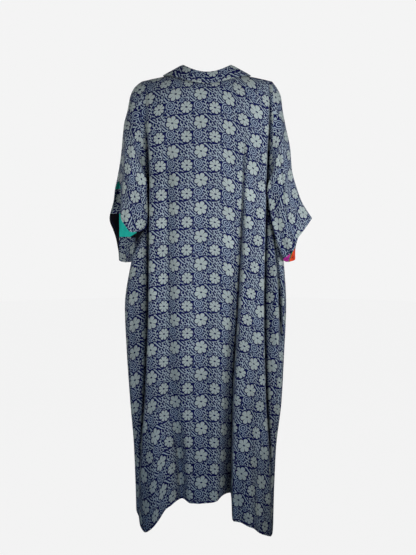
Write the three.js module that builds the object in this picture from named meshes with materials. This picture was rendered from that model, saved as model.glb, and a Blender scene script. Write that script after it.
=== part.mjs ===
// An open kaftan with a band collar and short wide sleeves, in the hollow form it keeps when it is
// filled out: millimetres, +Z up, +X to the wearer's right, +Y to the front, the origin on the
// shoulder line at the middle of the neck.
import * as THREE from 'three';

// ---- driving dimensions -------------------------------------------------------------------------

const WALL = 1.6;               // cloth thickness
const LINING_WALL = 1.0;        // the thinner inner cloth at the cuffs
const SEAM = 0.3;               // space between two pieces at a seam

const SHOULDER_END = 176;       // armhole seam, from the middle
const NECK_HALF = 70.4;         // neck point, from the middle
const NECK_BACK = 66;           // how far the neckline reaches behind the shoulder line
const SHOULDER_DROP = 18;       // fall of the shoulder line, neck point to armhole
const SHOULDER_BEND = 1.4;      // how late that fall comes

const CAP = 112;                // depth over which the cloth rounds off the shoulder
const ARMHOLE_DEPTH = 66;       // half depth of the armhole, front to back
const LEVEL_UNDERARM = 253;     // underarm, measured down the middle of the cloth
const LEVEL_HEM = 1168;         // hem, measured down the middle of the cloth
const DROOP_SPREAD = 400;       // depth over which the droop of the sides builds up

const BAND = 58;                // full width of the neck and front band
const FOLD_ROUND = 2.2;         // radius of the collar's turned edge

const COLUMNS_BACK = 50;
const COLUMNS_FRONT = 21;
const ROWS_CAP = 5;
const ROWS_ARMHOLE = 5;
const ROWS_SKIRT = 15;
const AROUND_SLEEVE = 32;
const ALONG_SLEEVE = 12;

// The hanging ring below the shoulders: how wide and how deep it is at each level.
const RING = [
  { level: 0, left: 176, right: 176, back: 96, front: 100, round: 1.0 },
  { level: 150, left: 176, right: 176, back: 100, front: 108, round: 1.0 },
  { level: 300, left: 174, right: 174, back: 98, front: 108, round: 0.62 },
  { level: 380, left: 180, right: 179, back: 97, front: 106, round: 0.46 },
  { level: 500, left: 208, right: 212, back: 97, front: 104, round: 0.42 },
  { level: 640, left: 229, right: 221, back: 98, front: 104, round: 0.42 },
  { level: 760, left: 225, right: 217, back: 99, front: 105, round: 0.42 },
  { level: 900, left: 217, right: 211, back: 101, front: 107, round: 0.42 },
  { level: 1050, left: 207, right: 196, back: 103, front: 109, round: 0.40 },
  { level: 1280, left: 202, right: 190, back: 106, front: 112, round: 0.38 },
];
const RING_SQUARE = 3.0;        // how square the ring is across the back and the front

// How much lower than the middle the hem hangs, across each half of the cloth.
const DROOP_PLACES = [0, 0.16, 0.30, 0.36, 0.42, 0.46, 0.50, 0.57, 0.64, 0.80, 0.90, 1];
const DROOP_LEFT = [0, 2, 0, 0, 16, 48, 73, 98, 46, 46, 50, 50];
const DROOP_RIGHT = [0, -11, -4, 10, 50, 57, 70, 105, 122, 98, 90, 88];

// Folds: where each one runs at these levels, how much of the cloth's depth it takes there (a
// ridge has a negative share), and how far it spreads to its left and to its right.
const FOLD_LEVELS = [100, 300, 600, 880, 1050, 1250];
const BACK_FOLDS = [
  { name: 'left side valley', left: 58, right: 11, line: 2,
    at: [-163, -158, -161, -173, -186, -194], share: [0.04, 0.42, 0.50, 0.46, 0.36, 0.22] },
  { name: 'left side crease', left: 10, right: 7,
    at: [-162, -157, -160, -172, -185, -193], share: [0, 0.30, 0.34, 0.30, 0.16, 0.06] },
  { name: 'right side valley', left: 11, right: 54, line: 2,
    at: [170, 163, 157, 164, 176, 184], share: [0.06, 0.42, 0.50, 0.46, 0.38, 0.24] },
  { name: 'right side crease', left: 7, right: 10,
    at: [170, 162, 156, 163, 175, 183], share: [0.16, 0.30, 0.34, 0.30, 0.18, 0.08] },
  { name: 'right step', left: 46, right: 15, line: 1,
    at: [98, 97, 86, 73, 70, 69], share: [0, 0.10, 0.24, 0.44, 0.58, 0.72] },
  { name: 'right ridge', left: 24, right: 55,
    at: [116, 114, 106, 104, 110, 120], share: [0, -0.05, -0.10, -0.14, -0.17, -0.20] },
  { name: 'left soft valley', left: 32, right: 34, line: 1,
    at: [-112, -108, -104, -98, -78, -70], share: [0, 0.08, 0.14, 0.13, 0.24, 0.22] },
  { name: 'left ridge', left: 44, right: 40,
    at: [-140, -136, -136, -140, -146, -150], share: [0, -0.02, -0.05, -0.08, -0.14, -0.18] },
  { name: 'middle ripple', left: 34, right: 30,
    at: [-20, -18, -14, -10, -2, 4], share: [0, 0.02, 0.05, 0.06, 0.05, 0.03] },
  { name: 'right hip crease', left: 9, right: 10,
    at: [196, 196, 203, 199, 190, 186], share: [0, 0, 0.24, 0.16, 0.05, 0] },
];
const FRONT_FOLDS = [
  { name: 'left front valley', left: 34, right: 16, line: 2,
    at: [-160, -152, -150, -156, -160, -162], share: [0.04, 0.40, 0.50, 0.50, 0.44, 0.36] },
  { name: 'right front valley', left: 16, right: 34, line: 2,
    at: [160, 154, 148, 152, 156, 158], share: [0.04, 0.40, 0.52, 0.50, 0.42, 0.34] },
  { name: 'left front step', left: 20, right: 26, line: 1,
    at: [-116, -112, -110, -112, -114, -116], share: [0, 0.04, 0.12, 0.20, 0.28, 0.34] },
  { name: 'right front step', left: 26, right: 18, line: 1,
    at: [110, 110, 112, 116, 118, 118], share: [0, 0.06, 0.14, 0.22, 0.26, 0.30] },
];
// The share of each half of the cloth that lies inside fold lines 1 and 2, below the underarm.
const LINE_SHARES = { back: [0.32, 0.64], front: [5 / 21, 11 / 21] };
const LINES_START = 193;        // level where the cloth starts to gather to those shares
const LINES_SPREAD = 220;       // depth over which it does so
const DEEPEST_SHARE = 0.86;     // the most of the depth that folds may take
const FOLD_TO_SEAM = 12;        // width over which a fold dies out into the armhole seam

// Each sleeve: its top fold from the shoulder towards the cuff (out and down), and the edge of the
// cuff. The edge goes from the top fold (0 half turns) down the back to the fold under the arm (1)
// and up the front (2).
const SLEEVE_LEFT = {
  side: -1,
  top: [[176, 18], [196, 34], [208, 58], [215, 92], [227, 140], [230, 200], [235, 245]],
  cuff: [
    { turn: 0.00, out: 241, down: 281 },
    { turn: 0.14, out: 234, down: 312 },
    { turn: 0.30, out: 233, down: 384 },
    { turn: 0.42, out: 221, down: 407 },
    { turn: 0.53, out: 204, down: 425 },
    { turn: 0.62, out: 182, down: 423 },
    { turn: 0.71, out: 164, down: 412 },
    { turn: 0.85, out: 200, down: 464 },
    { turn: 1.00, out: 214, down: 510 },
    { turn: 1.14, out: 232, down: 515 },
    { turn: 1.28, out: 250, down: 511 },
    { turn: 1.38, out: 253, down: 482 },
    { turn: 1.48, out: 259, down: 452 },
    { turn: 1.58, out: 267, down: 424 },
    { turn: 1.68, out: 277, down: 393 },
    { turn: 1.80, out: 264, down: 346 },
    { turn: 1.90, out: 256, down: 302 },
    { turn: 2.00, out: 241, down: 281 },
  ],
  cuffDepth: 60,                // half depth of the open cuff
  lap: 18,                      // how far its back laps over the body's side, half way down
};
const SLEEVE_RIGHT = {
  side: 1,
  top: [[176, 18], [190, 36], [201, 60], [205, 90], [215, 140], [228, 200], [233, 256],
    [245, 300], [262, 345]],
  cuff: [
    { turn: 0.00, out: 290, down: 388 },
    { turn: 0.18, out: 265, down: 419 },
    { turn: 0.34, out: 246, down: 444 },
    { turn: 0.50, out: 238, down: 470 },
    { turn: 0.66, out: 220, down: 489 },
    { turn: 0.80, out: 208, down: 499 },
    { turn: 1.00, out: 222, down: 510 },
    { turn: 1.16, out: 233, down: 514 },
    { turn: 1.30, out: 243, down: 513 },
    { turn: 1.42, out: 252, down: 508 },
    { turn: 1.52, out: 253, down: 480 },
    { turn: 1.64, out: 257, down: 450 },
    { turn: 1.82, out: 272, down: 415 },
    { turn: 2.00, out: 290, down: 388 },
  ],
  cuffDepth: 62,
  lap: 24,
};
const UNDERARM_BEND = 1.4;      // how long the fold under the arm stays by the body's side
const CUFF_BEND = 1.5;          // how late the sleeve takes the form of its cuff
const LAP_TURNS = [0.72, 1.26]; // where round the sleeve it laps over the body, back and front
const LAP_SHARES = [1, 0.5];    // and how much of its lap it has there
const LAP_SPREAD = 0.11;        // how far round that reaches, in half turns
const LAP_START = 0.07;         // share of the sleeve where the lap starts
const LAP_FULL = 0.32;          // and by which it is full
const CUFF_SQUARE = 0.55;       // below 1, the open cuff is squarer than a round tube
const LINING_ROWS = 4;          // rows of the sleeve, counted from the cuff, that the lining covers
const LINING_FROM = 17;         // columns of the sleeve, from its top fold down its back, that the
const LINING_TO = 34;           // lining covers: the front half and a little past the top fold
const LINING_EDGE = 0.985;      // share of the sleeve where the lining stops short of the cuff

// The folded neck stretch of the band: from the seam up to the fold (stand), then outwards and
// down to the free edge (fall), at stations round the neck and down the front.
const COLLAR = [
  { station: 0.00, standX: 0, standY: -4, standZ: 27, fallX: 0, fallY: -14, fallZ: -31 },
  { station: 0.25, standX: 1, standY: -3, standZ: 27, fallX: 14, fallY: -16, fallZ: -32 },
  { station: 0.38, standX: -1, standY: -2, standZ: 26, fallX: 38, fallY: -14, fallZ: -29 },
  { station: 0.50, standX: -4, standY: 0, standZ: 22, fallX: 55, fallY: -4, fallZ: -24 },
  { station: 0.62, standX: -16, standY: 10, standZ: 22, fallX: 38, fallY: 8, fallZ: -14 },
  { station: 0.80, standX: -37, standY: 5, standZ: 6, fallX: 20, fallY: 2, fallZ: -4 },
  { station: 1.00, standX: -50, standY: 3, standZ: 0, fallX: 7, fallY: 0, fallZ: 0 },
];
const COLLAR_HALF_STATIONS = 20;
const STAND_PLACES = [0, 0.5];  // points of the section up the stand, before it turns over
const FALL_PLACES = [0.55, 1];  // and down the fall, after it has turned
const NECK_STATION = 0.5;       // the station at the neck point
const BAND_STEPS_BEND = 1.6;    // stations lie closer together where the band turns at the neck
const BAND_OPENING = [          // how far each band's free edge stands from the middle
  { level: 0, from: 8 },
  { level: 300, from: 9 },
  { level: 700, from: 14 },
  { level: 1270, from: 26 },
];

const COLOURS = { print: '#5a6480', turquoise: '#29868c', patch: '#8c2f3c' };

// ---- small helpers ------------------------------------------------------------------------------

const clamp = (value, low, high) => Math.min(Math.max(value, low), high);
const mix = (a, b, share) => a + (b - a) * share;
const smooth = (share) => {
  const s = clamp(share, 0, 1);
  return s * s * (3 - 2 * s);
};

// A smooth value through a table of stations, without overshoot at its ends.
function track(stations, values, at) {
  const last = stations.length - 1;
  if (at <= stations[0]) return values[0];
  if (at >= stations[last]) return values[last];
  let i = 0;
  while (at > stations[i + 1]) i += 1;
  const slope = (k) => (values[k + 1] - values[k]) / (stations[k + 1] - stations[k]);
  const tangent = (k) => {
    if (k === 0 || k === last) return 0;
    const [before, after] = [slope(k - 1), slope(k)];
    return before * after <= 0 ? 0 : (2 * before * after) / (before + after);
  };
  const span = stations[i + 1] - stations[i];
  const s = (at - stations[i]) / span;
  return (2 * s ** 3 - 3 * s ** 2 + 1) * values[i] + (s ** 3 - 2 * s ** 2 + s) * span * tangent(i)
    + (3 * s ** 2 - 2 * s ** 3) * values[i + 1] + (s ** 3 - s ** 2) * span * tangent(i + 1);
}

const column = (table, key) => table.map((row) => row[key]);
const ringSize = (key, level) => track(column(RING, 'level'), column(RING, key), level);

// ---- the body's form ----------------------------------------------------------------------------

// Height of the shoulder line over x.
function shoulderLine(x) {
  const share = clamp((Math.abs(x) - NECK_HALF) / (SHOULDER_END - NECK_HALF), 0, 1);
  return -SHOULDER_DROP * share ** SHOULDER_BEND;
}

// Height of the cloth at a share u of the way from the middle to the side and a level down it.
function heightAt(side, u, x, level) {
  const hanging = track(DROOP_PLACES, side < 0 ? DROOP_LEFT : DROOP_RIGHT, u);
  const droop = mix(-shoulderLine(x), hanging, smooth((level - CAP) / DROOP_SPREAD));
  return -level - droop;
}
const UNDERARM_LEFT = heightAt(-1, 1, SHOULDER_END, LEVEL_UNDERARM);
const UNDERARM_RIGHT = heightAt(1, 1, SHOULDER_END, LEVEL_UNDERARM);
const underarm = (x) => (x < 0 ? UNDERARM_LEFT : UNDERARM_RIGHT);
const ARMHOLE_MIDDLE = -(SHOULDER_DROP + CAP);

// Half depth of the armhole edge at a height: an egg, its blunt end at the shoulder.
function armholeHalf(side, z) {
  if (z >= ARMHOLE_MIDDLE) return ARMHOLE_DEPTH;
  const share = (ARMHOLE_MIDDLE - z) / (ARMHOLE_MIDDLE - underarm(side));
  return ARMHOLE_DEPTH * Math.sqrt(Math.max(0, 1 - share * share));
}

// The share of the depth that all the folds take at one place.
function foldShare(folds, x, level) {
  let share = 0;
  for (const fold of folds) {
    const offset = x - track(FOLD_LEVELS, fold.at, level);
    const spread = offset < 0 ? fold.left : fold.right;
    const away = Math.abs(offset) / spread;
    if (away < 1) share += track(FOLD_LEVELS, fold.share, level) * (1 - smooth(away));
  }
  return Math.min(share, DEEPEST_SHARE);
}

// Depth of the cloth from the shoulder plane at x and height z.
function depthAt(x, z, atBack) {
  const full = ringSize(atBack ? 'back' : 'front', -z);
  const aboveUnderarm = z > underarm(x);
  const edge = aboveUnderarm ? armholeHalf(x, z) : 0;
  const across = Math.min(Math.abs(x) / endOfRing(x, z), 1);
  const arch = (1 - across ** RING_SQUARE) ** ringSize('round', -z);
  const folded = foldShare(atBack ? BACK_FOLDS : FRONT_FOLDS, x, -z);
  const room = aboveUnderarm ? foldRoom(x, z) : 1;
  return (edge + (full - edge) * arch) * (1 - folded * room);
}

// Above the underarm the folds die out into the armhole seam.
function foldRoom(x, z) {
  const toSeam = (SHOULDER_END - Math.abs(x)) / FOLD_TO_SEAM;
  return smooth(toSeam) * smooth((shoulderLine(x) - z) / CAP);
}

// Where the panel ends at the side: at the armhole seam, or at the side seam below it.
function endOfRing(side, z) {
  if (z >= underarm(side)) return SHOULDER_END;
  return ringSize(side < 0 ? 'left' : 'right', -z);
}

// A point of one horizontal section, a share of the way from x = start to the side. The fold
// lines keep their own shares below the underarm, and between them points are evenly spread.
const SECTION_STEPS = 140;
function alongSection(side, z, start, share, atBack) {
  const end = endOfRing(side, z);
  const places = [];
  let length = 0;
  for (let i = 0; i <= SECTION_STEPS; i += 1) {
    const x = start + (end - start) * Math.sin((i / SECTION_STEPS) * Math.PI / 2);
    const y = depthAt(side * x, z, atBack);
    if (i > 0) length += Math.hypot(x - places[i - 1].x, y - places[i - 1].y);
    places.push({ x, y, length });
  }
  const knots = [{ share: 0, length: 0 }, ...foldLines(side, z, start, atBack).map((line) => {
    const place = places.find((p) => p.x >= line.x);
    return { share: line.share, length: place.length };
  }), { share: 1, length }];
  let k = 1;
  while (k < knots.length - 1 && share > knots[k].share) k += 1;
  const [from, to] = [knots[k - 1], knots[k]];
  const goal = mix(from.length, to.length, (share - from.share) / (to.share - from.share));
  let i = 1;
  while (i < SECTION_STEPS && places[i].length < goal) i += 1;
  const [a, b] = [places[i - 1], places[i]];
  const part = b.length > a.length ? (goal - a.length) / (b.length - a.length) : 0;
  return { x: mix(a.x, b.x, part), y: mix(a.y, b.y, part) };
}

// Where the fold lines of one half run at a height, and the share of the cloth inside each.
function foldLines(side, z, start, atBack) {
  const folds = (atBack ? BACK_FOLDS : FRONT_FOLDS).filter((fold) => fold.line
    && Math.sign(fold.at[0]) === side).sort((a, b) => a.line - b.line);
  const settled = smooth((-z - LINES_START) / LINES_SPREAD);
  const shares = atBack ? LINE_SHARES.back : LINE_SHARES.front;
  return folds.map((fold, k) => {
    const x = Math.abs(track(FOLD_LEVELS, fold.at, -z));
    return { x, share: mix((x - start) / (SHOULDER_END - start), shares[k], settled) };
  });
}

// Spread of the top row over x: evenly round the neckline, then evenly along the shoulder.
const NECK_SHARE = NECK_HALF / SHOULDER_END;
function topPlace(u, start) {
  if (start > 0) return mix(start, SHOULDER_END, u);
  if (u >= NECK_SHARE) return SHOULDER_END * u;
  return NECK_HALF * Math.sin((u / NECK_SHARE) * Math.PI / 2);
}

// The rounding over the shoulder: a quarter turn from the shoulder line down to its full depth.
// It starts at the shoulder line, or at the neckline where the back is cut out for the neck.
function capPoint(side, x, share, atBack) {
  const top = shoulderLine(x);
  const full = (angle) => mix(depthAt(side * x, top - CAP, atBack),
    depthAt(side * x, top - CAP * (1 - Math.cos(angle)), atBack), share);
  const across = Math.min(Math.abs(x) / NECK_HALF, 1);
  const neckline = atBack ? NECK_BACK * Math.sqrt(1 - across * across) : 0;
  const angle = mix(Math.asin(neckline / full(0)), Math.PI / 2, share);
  return { y: full(angle) * Math.sin(angle), z: top - CAP * (1 - Math.cos(angle)) };
}

// One point of the body's cloth. u runs from the panel's inner edge (0) to its side (1).
function bodyPoint(side, u, row, inner, atBack) {
  const facing = atBack ? -1 : 1;
  if (row <= ROWS_CAP) {
    const share = row / ROWS_CAP;
    const x = mix(topPlace(u, inner(0)), mix(inner(0), SHOULDER_END, u), share);
    const { y, z } = capPoint(side, x, share, atBack);
    return new THREE.Vector3(side * x, facing * Math.max(y, SEAM / 2), z);
  }
  const level = levelOfRow(row);
  const across = mix(inner(level), SHOULDER_END, u);
  const z = heightAt(side, u, across, level);
  const place = alongSection(side, z, inner(-z), u, atBack);
  return new THREE.Vector3(side * place.x, facing * Math.max(place.y, SEAM / 2), z);
}

function levelOfRow(row) {
  const toUnderarm = row - ROWS_CAP;
  if (toUnderarm <= ROWS_ARMHOLE) {
    return mix(CAP, LEVEL_UNDERARM, toUnderarm / ROWS_ARMHOLE);
  }
  return mix(LEVEL_UNDERARM, LEVEL_HEM, (toUnderarm - ROWS_ARMHOLE) / ROWS_SKIRT);
}

// ---- walls --------------------------------------------------------------------------------------

// A closed wall of cloth about a grid of points; it wraps round when closed is true. flatten may
// turn a normal into the plane of a seam.
function wall(grid, thickness, closed = false, flatten = (normal) => normal, shift = 0) {
  const rows = grid.length;
  const columns = grid[0].length;
  const at = (i, j) => grid[clamp(i, 0, rows - 1)][
    closed ? (j + columns) % columns : clamp(j, 0, columns - 1)];
  const faces = [[], []];
  for (let i = 0; i < rows; i += 1) {
    for (let j = 0; j < columns; j += 1) {
      const down = at(i + 1, j).clone().sub(at(i - 1, j));
      const along = at(i, j + 1).clone().sub(at(i, j - 1));
      const normal = flatten(down.cross(along).normalize(), i, j).normalize();
      faces[0].push(at(i, j).clone().addScaledVector(normal, shift + thickness / 2));
      faces[1].push(at(i, j).clone().addScaledVector(normal, shift - thickness / 2));
    }
  }
  const total = rows * columns;
  const index = [];
  const quad = (a, b, c, d) => index.push(a, b, c, a, c, d);
  const steps = closed ? columns : columns - 1;
  for (let i = 0; i < rows - 1; i += 1) {
    for (let j = 0; j < steps; j += 1) {
      const next = (j + 1) % columns;
      const [a, b, c, d] = [i * columns + j, (i + 1) * columns + j,
        (i + 1) * columns + next, i * columns + next];
      quad(a, b, c, d);
      quad(total + a, total + d, total + c, total + b);
    }
  }
  for (let j = 0; j < steps; j += 1) {
    const next = (j + 1) % columns;
    const low = (rows - 1) * columns;
    quad(j, next, total + next, total + j);
    quad(low + j, total + low + j, total + low + next, low + next);
  }
  if (!closed) {
    for (let i = 0; i < rows - 1; i += 1) {
      const [a, b] = [i * columns, (i + 1) * columns];
      const [c, d] = [a + columns - 1, b + columns - 1];
      quad(a, total + a, total + b, b);
      quad(c, d, total + d, total + c);
    }
  }
  return closedGeometry([...faces[0], ...faces[1]], index);
}

// A geometry from points and triangles, turned so that its faces point outwards.
function closedGeometry(points, index) {
  let volume = 0;
  for (let k = 0; k < index.length; k += 3) {
    const [a, b, c] = [points[index[k]], points[index[k + 1]], points[index[k + 2]]];
    volume += a.dot(b.clone().cross(c));
  }
  const turned = volume < 0 ? index.slice().reverse() : index;
  const geometry = new THREE.BufferGeometry();
  geometry.setAttribute('position', new THREE.Float32BufferAttribute(
    points.flatMap((point) => [point.x, point.y, point.z]), 3));
  geometry.setIndex(turned);
  geometry.computeVertexNormals();
  return geometry;
}

// ---- back and fronts ----------------------------------------------------------------------------

const ROWS_BODY = ROWS_CAP + ROWS_ARMHOLE + ROWS_SKIRT;
const ROW_UNDERARM = ROWS_CAP + ROWS_ARMHOLE;
const ROW_BAND = ROW_UNDERARM + 1;      // where the folded neck stretch ends and the band runs flat
const BAND_END_LEVEL = levelOfRow(ROW_BAND);

// At a seam the wall's end lies in the seam's plane: across x at the armhole, across y elsewhere.
function flattenBody(isArmhole, isSide) {
  return (normal, i, j) => {
    if (isArmhole(i, j)) normal.setX(0);
    if (isSide(i, j)) normal.setY(0);
    return normal;
  };
}

function back() {
  const half = COLUMNS_BACK / 2;
  const grid = [];
  for (let i = 0; i <= ROWS_BODY; i += 1) {
    const row = [];
    for (let j = -half; j <= half; j += 1) {
      row.push(bodyPoint(j < 0 ? -1 : 1, Math.abs(j) / half, i, () => 0, true));
    }
    grid.push(row);
  }
  const atEnd = (j) => j === 0 || j === COLUMNS_BACK;
  return wall(grid, WALL, false, flattenBody(
    (i, j) => atEnd(j) && i <= ROW_UNDERARM,
    (i, j) => (atEnd(j) && i >= ROW_UNDERARM) || (i === 0 && Math.abs(j - half) >= NECK_SHARE * half)));
}

// The seam between a front and its band: the band's free edge plus the band's width.
function bandSeam(level) {
  const open = track(column(BAND_OPENING, 'level'), column(BAND_OPENING, 'from'), level);
  return mix(NECK_HALF, BAND + open, smooth(level / BAND_END_LEVEL));
}
const frontEdge = (level) => (level <= 0 ? NECK_HALF : bandSeam(level) + SEAM);

function front(side) {
  const grid = [];
  for (let i = 0; i <= ROWS_BODY; i += 1) {
    const row = [];
    for (let j = 0; j <= COLUMNS_FRONT; j += 1) {
      row.push(bodyPoint(side, j / COLUMNS_FRONT, i, frontEdge, false));
    }
    grid.push(row);
  }
  return wall(grid, WALL, false, flattenBody(
    (i, j) => (j === COLUMNS_FRONT && i <= ROW_UNDERARM) || j === 0,
    (i, j) => (j === COLUMNS_FRONT && i >= ROW_UNDERARM) || i === 0));
}

// ---- sleeves ------------------------------------------------------------------------------------

// A path through a table of [out, down] places, by its share of the length.
function pathPlace(places, share) {
  const lengths = [0];
  for (let i = 1; i < places.length; i += 1) {
    const step = Math.hypot(places[i][0] - places[i - 1][0], places[i][1] - places[i - 1][1]);
    lengths.push(lengths[i - 1] + step);
  }
  const at = share * lengths[lengths.length - 1];
  return [track(lengths, places.map((place) => place[0]), at),
    track(lengths, places.map((place) => place[1]), at)];
}

// How strongly a bump at one place round the sleeve is felt at another, both in half turns.
function bump(turn, centre) {
  const away = (turn - centre) / 2;
  return Math.exp(-((((away - Math.round(away)) * 2) / LAP_SPREAD) ** 2));
}

// One point of a sleeve: t runs from the armhole (0) to the cuff (1), and turn, in half turns, from
// the top fold down the back to the fold under the arm and up the front. A plain tube comes first,
// and then takes the form of the cuff's edge.
function sleevePoint(sleeve, t, turn) {
  const places = column(sleeve.cuff, 'turn');
  const edge = [track(places, column(sleeve.cuff, 'out'), turn),
    track(places, column(sleeve.cuff, 'down'), turn)];
  const cuffTop = [sleeve.cuff[0].out, sleeve.cuff[0].down];
  const lowRow = sleeve.cuff.find((row) => row.turn === 1);
  const top = pathPlace([...sleeve.top, cuffTop], t);
  const lowest = underarm(sleeve.side);
  const under = [mix(SHOULDER_END, lowRow.out, t ** UNDERARM_BEND), mix(-lowest, lowRow.down, t)];

  const angle = turn * Math.PI;
  const eggHeight = Math.cos(angle) >= 0 ? CAP : ARMHOLE_MIDDLE - lowest;
  const eggDown = -ARMHOLE_MIDDLE - eggHeight * Math.cos(angle);
  const eggShare = (eggDown - SHOULDER_DROP) / (-lowest - SHOULDER_DROP);
  const roundShare = (1 - Math.cos(angle)) / 2;
  const share = mix(eggShare, roundShare, smooth(t));
  const gain = t ** CUFF_BEND;
  const laps = LAP_TURNS.reduce((sum, at, k) => sum + LAP_SHARES[k] * bump(turn, at), 0);
  const started = smooth((t - LAP_START) / (LAP_FULL - LAP_START));
  const lap = sleeve.lap * started * (1 - t ** 3) * laps;
  const out = mix(top[0], under[0], share) - lap
    + gain * (edge[0] - mix(cuffTop[0], lowRow.out, roundShare));
  const down = mix(top[1], under[1], share)
    + gain * (edge[1] - mix(cuffTop[1], lowRow.down, roundShare));
  const depth = mix(ARMHOLE_DEPTH, sleeve.cuffDepth, smooth(t));
  const round = Math.sign(Math.sin(angle)) * Math.abs(Math.sin(angle)) ** mix(1, CUFF_SQUARE, t);
  return new THREE.Vector3(sleeve.side * (out + SEAM * (1 - t)), -depth * round, -down);
}

function sleeveGrid(shape, stations, from = 0, to = AROUND_SLEEVE - 1) {
  return stations.map((t) => {
    const row = [];
    for (let j = from; j <= to; j += 1) {
      row.push(sleevePoint(shape, t, ((2 * j) / AROUND_SLEEVE) % 2));
    }
    return row;
  });
}

function sleeve(shape) {
  const stations = [];
  for (let i = 0; i <= ALONG_SLEEVE; i += 1) stations.push(i / ALONG_SLEEVE);
  return wall(sleeveGrid(shape, stations), WALL, true,
    (normal, i) => (i === 0 ? normal.setX(0) : normal));
}

// The inner cloth near the cuff, a seam's space inside the sleeve.
function sleeveLining(shape) {
  const inward = (WALL + LINING_WALL) / 2 + SEAM;
  const first = ALONG_SLEEVE - LINING_ROWS;
  const stations = [];
  for (let i = first; i < ALONG_SLEEVE; i += 1) stations.push(i / ALONG_SLEEVE);
  stations.push(LINING_EDGE);
  return wall(sleeveGrid(shape, stations, LINING_FROM, LINING_TO), LINING_WALL, false,
    (normal) => normal, inward * shape.side);
}

// ---- the band -----------------------------------------------------------------------------------

const INSIDE_NECK = WALL + 0.7;          // the stand rises just inside the neckline

// Where the band is sewn on, by station: round the back of the neck, then down the front edge.
function bandSeamPlace(station) {
  if (station <= NECK_STATION) {
    const turn = (station / NECK_STATION) * Math.PI / 2;
    const { z } = capPoint(1, NECK_HALF * Math.sin(turn), 0, true);
    return new THREE.Vector3((NECK_HALF - INSIDE_NECK) * Math.sin(turn),
      -(NECK_BACK - INSIDE_NECK) * Math.cos(turn), z);
  }
  const share = (station - NECK_STATION) / (1 - NECK_STATION);
  const down = BAND_END_LEVEL * share ** BAND_STEPS_BEND;
  const inside = INSIDE_NECK * (1 - smooth(share * BAND_STEPS_BEND));
  return bandPlace(down, bandSeam(down) - inside);
}

// A place on the front's form, over the shoulder's rounding too.
function bandPlace(down, x) {
  const share = clamp(down / CAP, 0, 1);
  const rounding = Math.sqrt(1 - (1 - share) ** 2);
  return new THREE.Vector3(x, depthAt(x, -Math.max(down, CAP), false) * rounding, -down);
}

function collarVector(station, key) {
  const stations = column(COLLAR, 'station');
  const value = (axis) => track(stations, column(COLLAR, key + axis), station);
  return new THREE.Vector3(value('X'), value('Y'), value('Z'));
}

// The section of the folded band at one station, from the seam to the free edge.
function collarSection(station) {
  const seam = bandSeamPlace(station);
  const stand = collarVector(station, 'stand');
  const fall = collarVector(station, 'fall');
  const fold = seam.clone().add(stand);
  const up = stand.clone().normalize();
  const away = fall.clone().addScaledVector(up, -fall.dot(up)).normalize();
  const turn = [Math.PI, Math.PI / 2, 0].map((angle) => fold.clone()
    .addScaledVector(away, FOLD_ROUND * (1 + Math.cos(angle)))
    .addScaledVector(up, FOLD_ROUND * (Math.sin(angle) - 1)));
  const rising = STAND_PLACES.map((share) => seam.clone().lerp(turn[0], share));
  const falling = FALL_PLACES.map((share) => fold.clone()
    .addScaledVector(away, 2 * FOLD_ROUND * (1 - share)).addScaledVector(fall, share));
  return [...rising, ...turn, ...falling];
}

function neckCollar() {
  const grid = [];
  for (let i = -COLLAR_HALF_STATIONS; i <= COLLAR_HALF_STATIONS; i += 1) {
    const section = collarSection(Math.abs(i) / COLLAR_HALF_STATIONS);
    grid.push(section.map((p) => new THREE.Vector3(i < 0 ? -p.x : p.x, p.y, p.z)));
  }
  return wall(grid, WALL);
}

function frontBand(side) {
  const grid = [];
  for (let i = ROW_BAND; i <= ROWS_BODY; i += 1) {
    const down = levelOfRow(i) + (i === ROW_BAND ? SEAM : 0);
    const row = [];
    for (const share of [0, 0.5, 1]) {
      const x = bandSeam(down) - BAND * share;
      row.push(new THREE.Vector3(side * x, depthAt(side * x, -down, false), -down));
    }
    grid.push(row);
  }
  return wall(grid, WALL, false, (normal, i, j) => (j === 0 ? normal.setX(0) : normal));
}

// ---- the garment --------------------------------------------------------------------------------

function piece(name, geometry, colour) {
  const material = new THREE.MeshStandardMaterial({ color: colour, roughness: 0.8, metalness: 0 });
  const mesh = new THREE.Mesh(geometry, material);
  mesh.name = name;
  return mesh;
}

const kaftan = new THREE.Group();
kaftan.add(
  piece('back', back(), COLOURS.print),
  piece('front_left', front(-1), COLOURS.print),
  piece('front_right', front(1), COLOURS.print),
  piece('sleeve_left', sleeve(SLEEVE_LEFT), COLOURS.print),
  piece('sleeve_right', sleeve(SLEEVE_RIGHT), COLOURS.print),
  piece('sleeve_lining_left', sleeveLining(SLEEVE_LEFT), COLOURS.turquoise),
  piece('sleeve_lining_right', sleeveLining(SLEEVE_RIGHT), COLOURS.patch),
  piece('neck_collar', neckCollar(), COLOURS.print),
  piece('front_band_left', frontBand(-1), COLOURS.print),
  piece('front_band_right', frontBand(1), COLOURS.print),
);

export default kaftan;
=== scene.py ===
# %% [markdown]
# # A printed cotton kaftan, filled out with no wearer
#
# The real thing is a long open robe sewn from printed cotton: one back, two fronts, two wide
# sleeves and a band that folds down into a collar at the neck. It hangs here in the form it keeps
# when it is filled out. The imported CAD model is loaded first, because it gives the true size:
# every cloth piece below lies where its plain solid lies.

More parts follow.
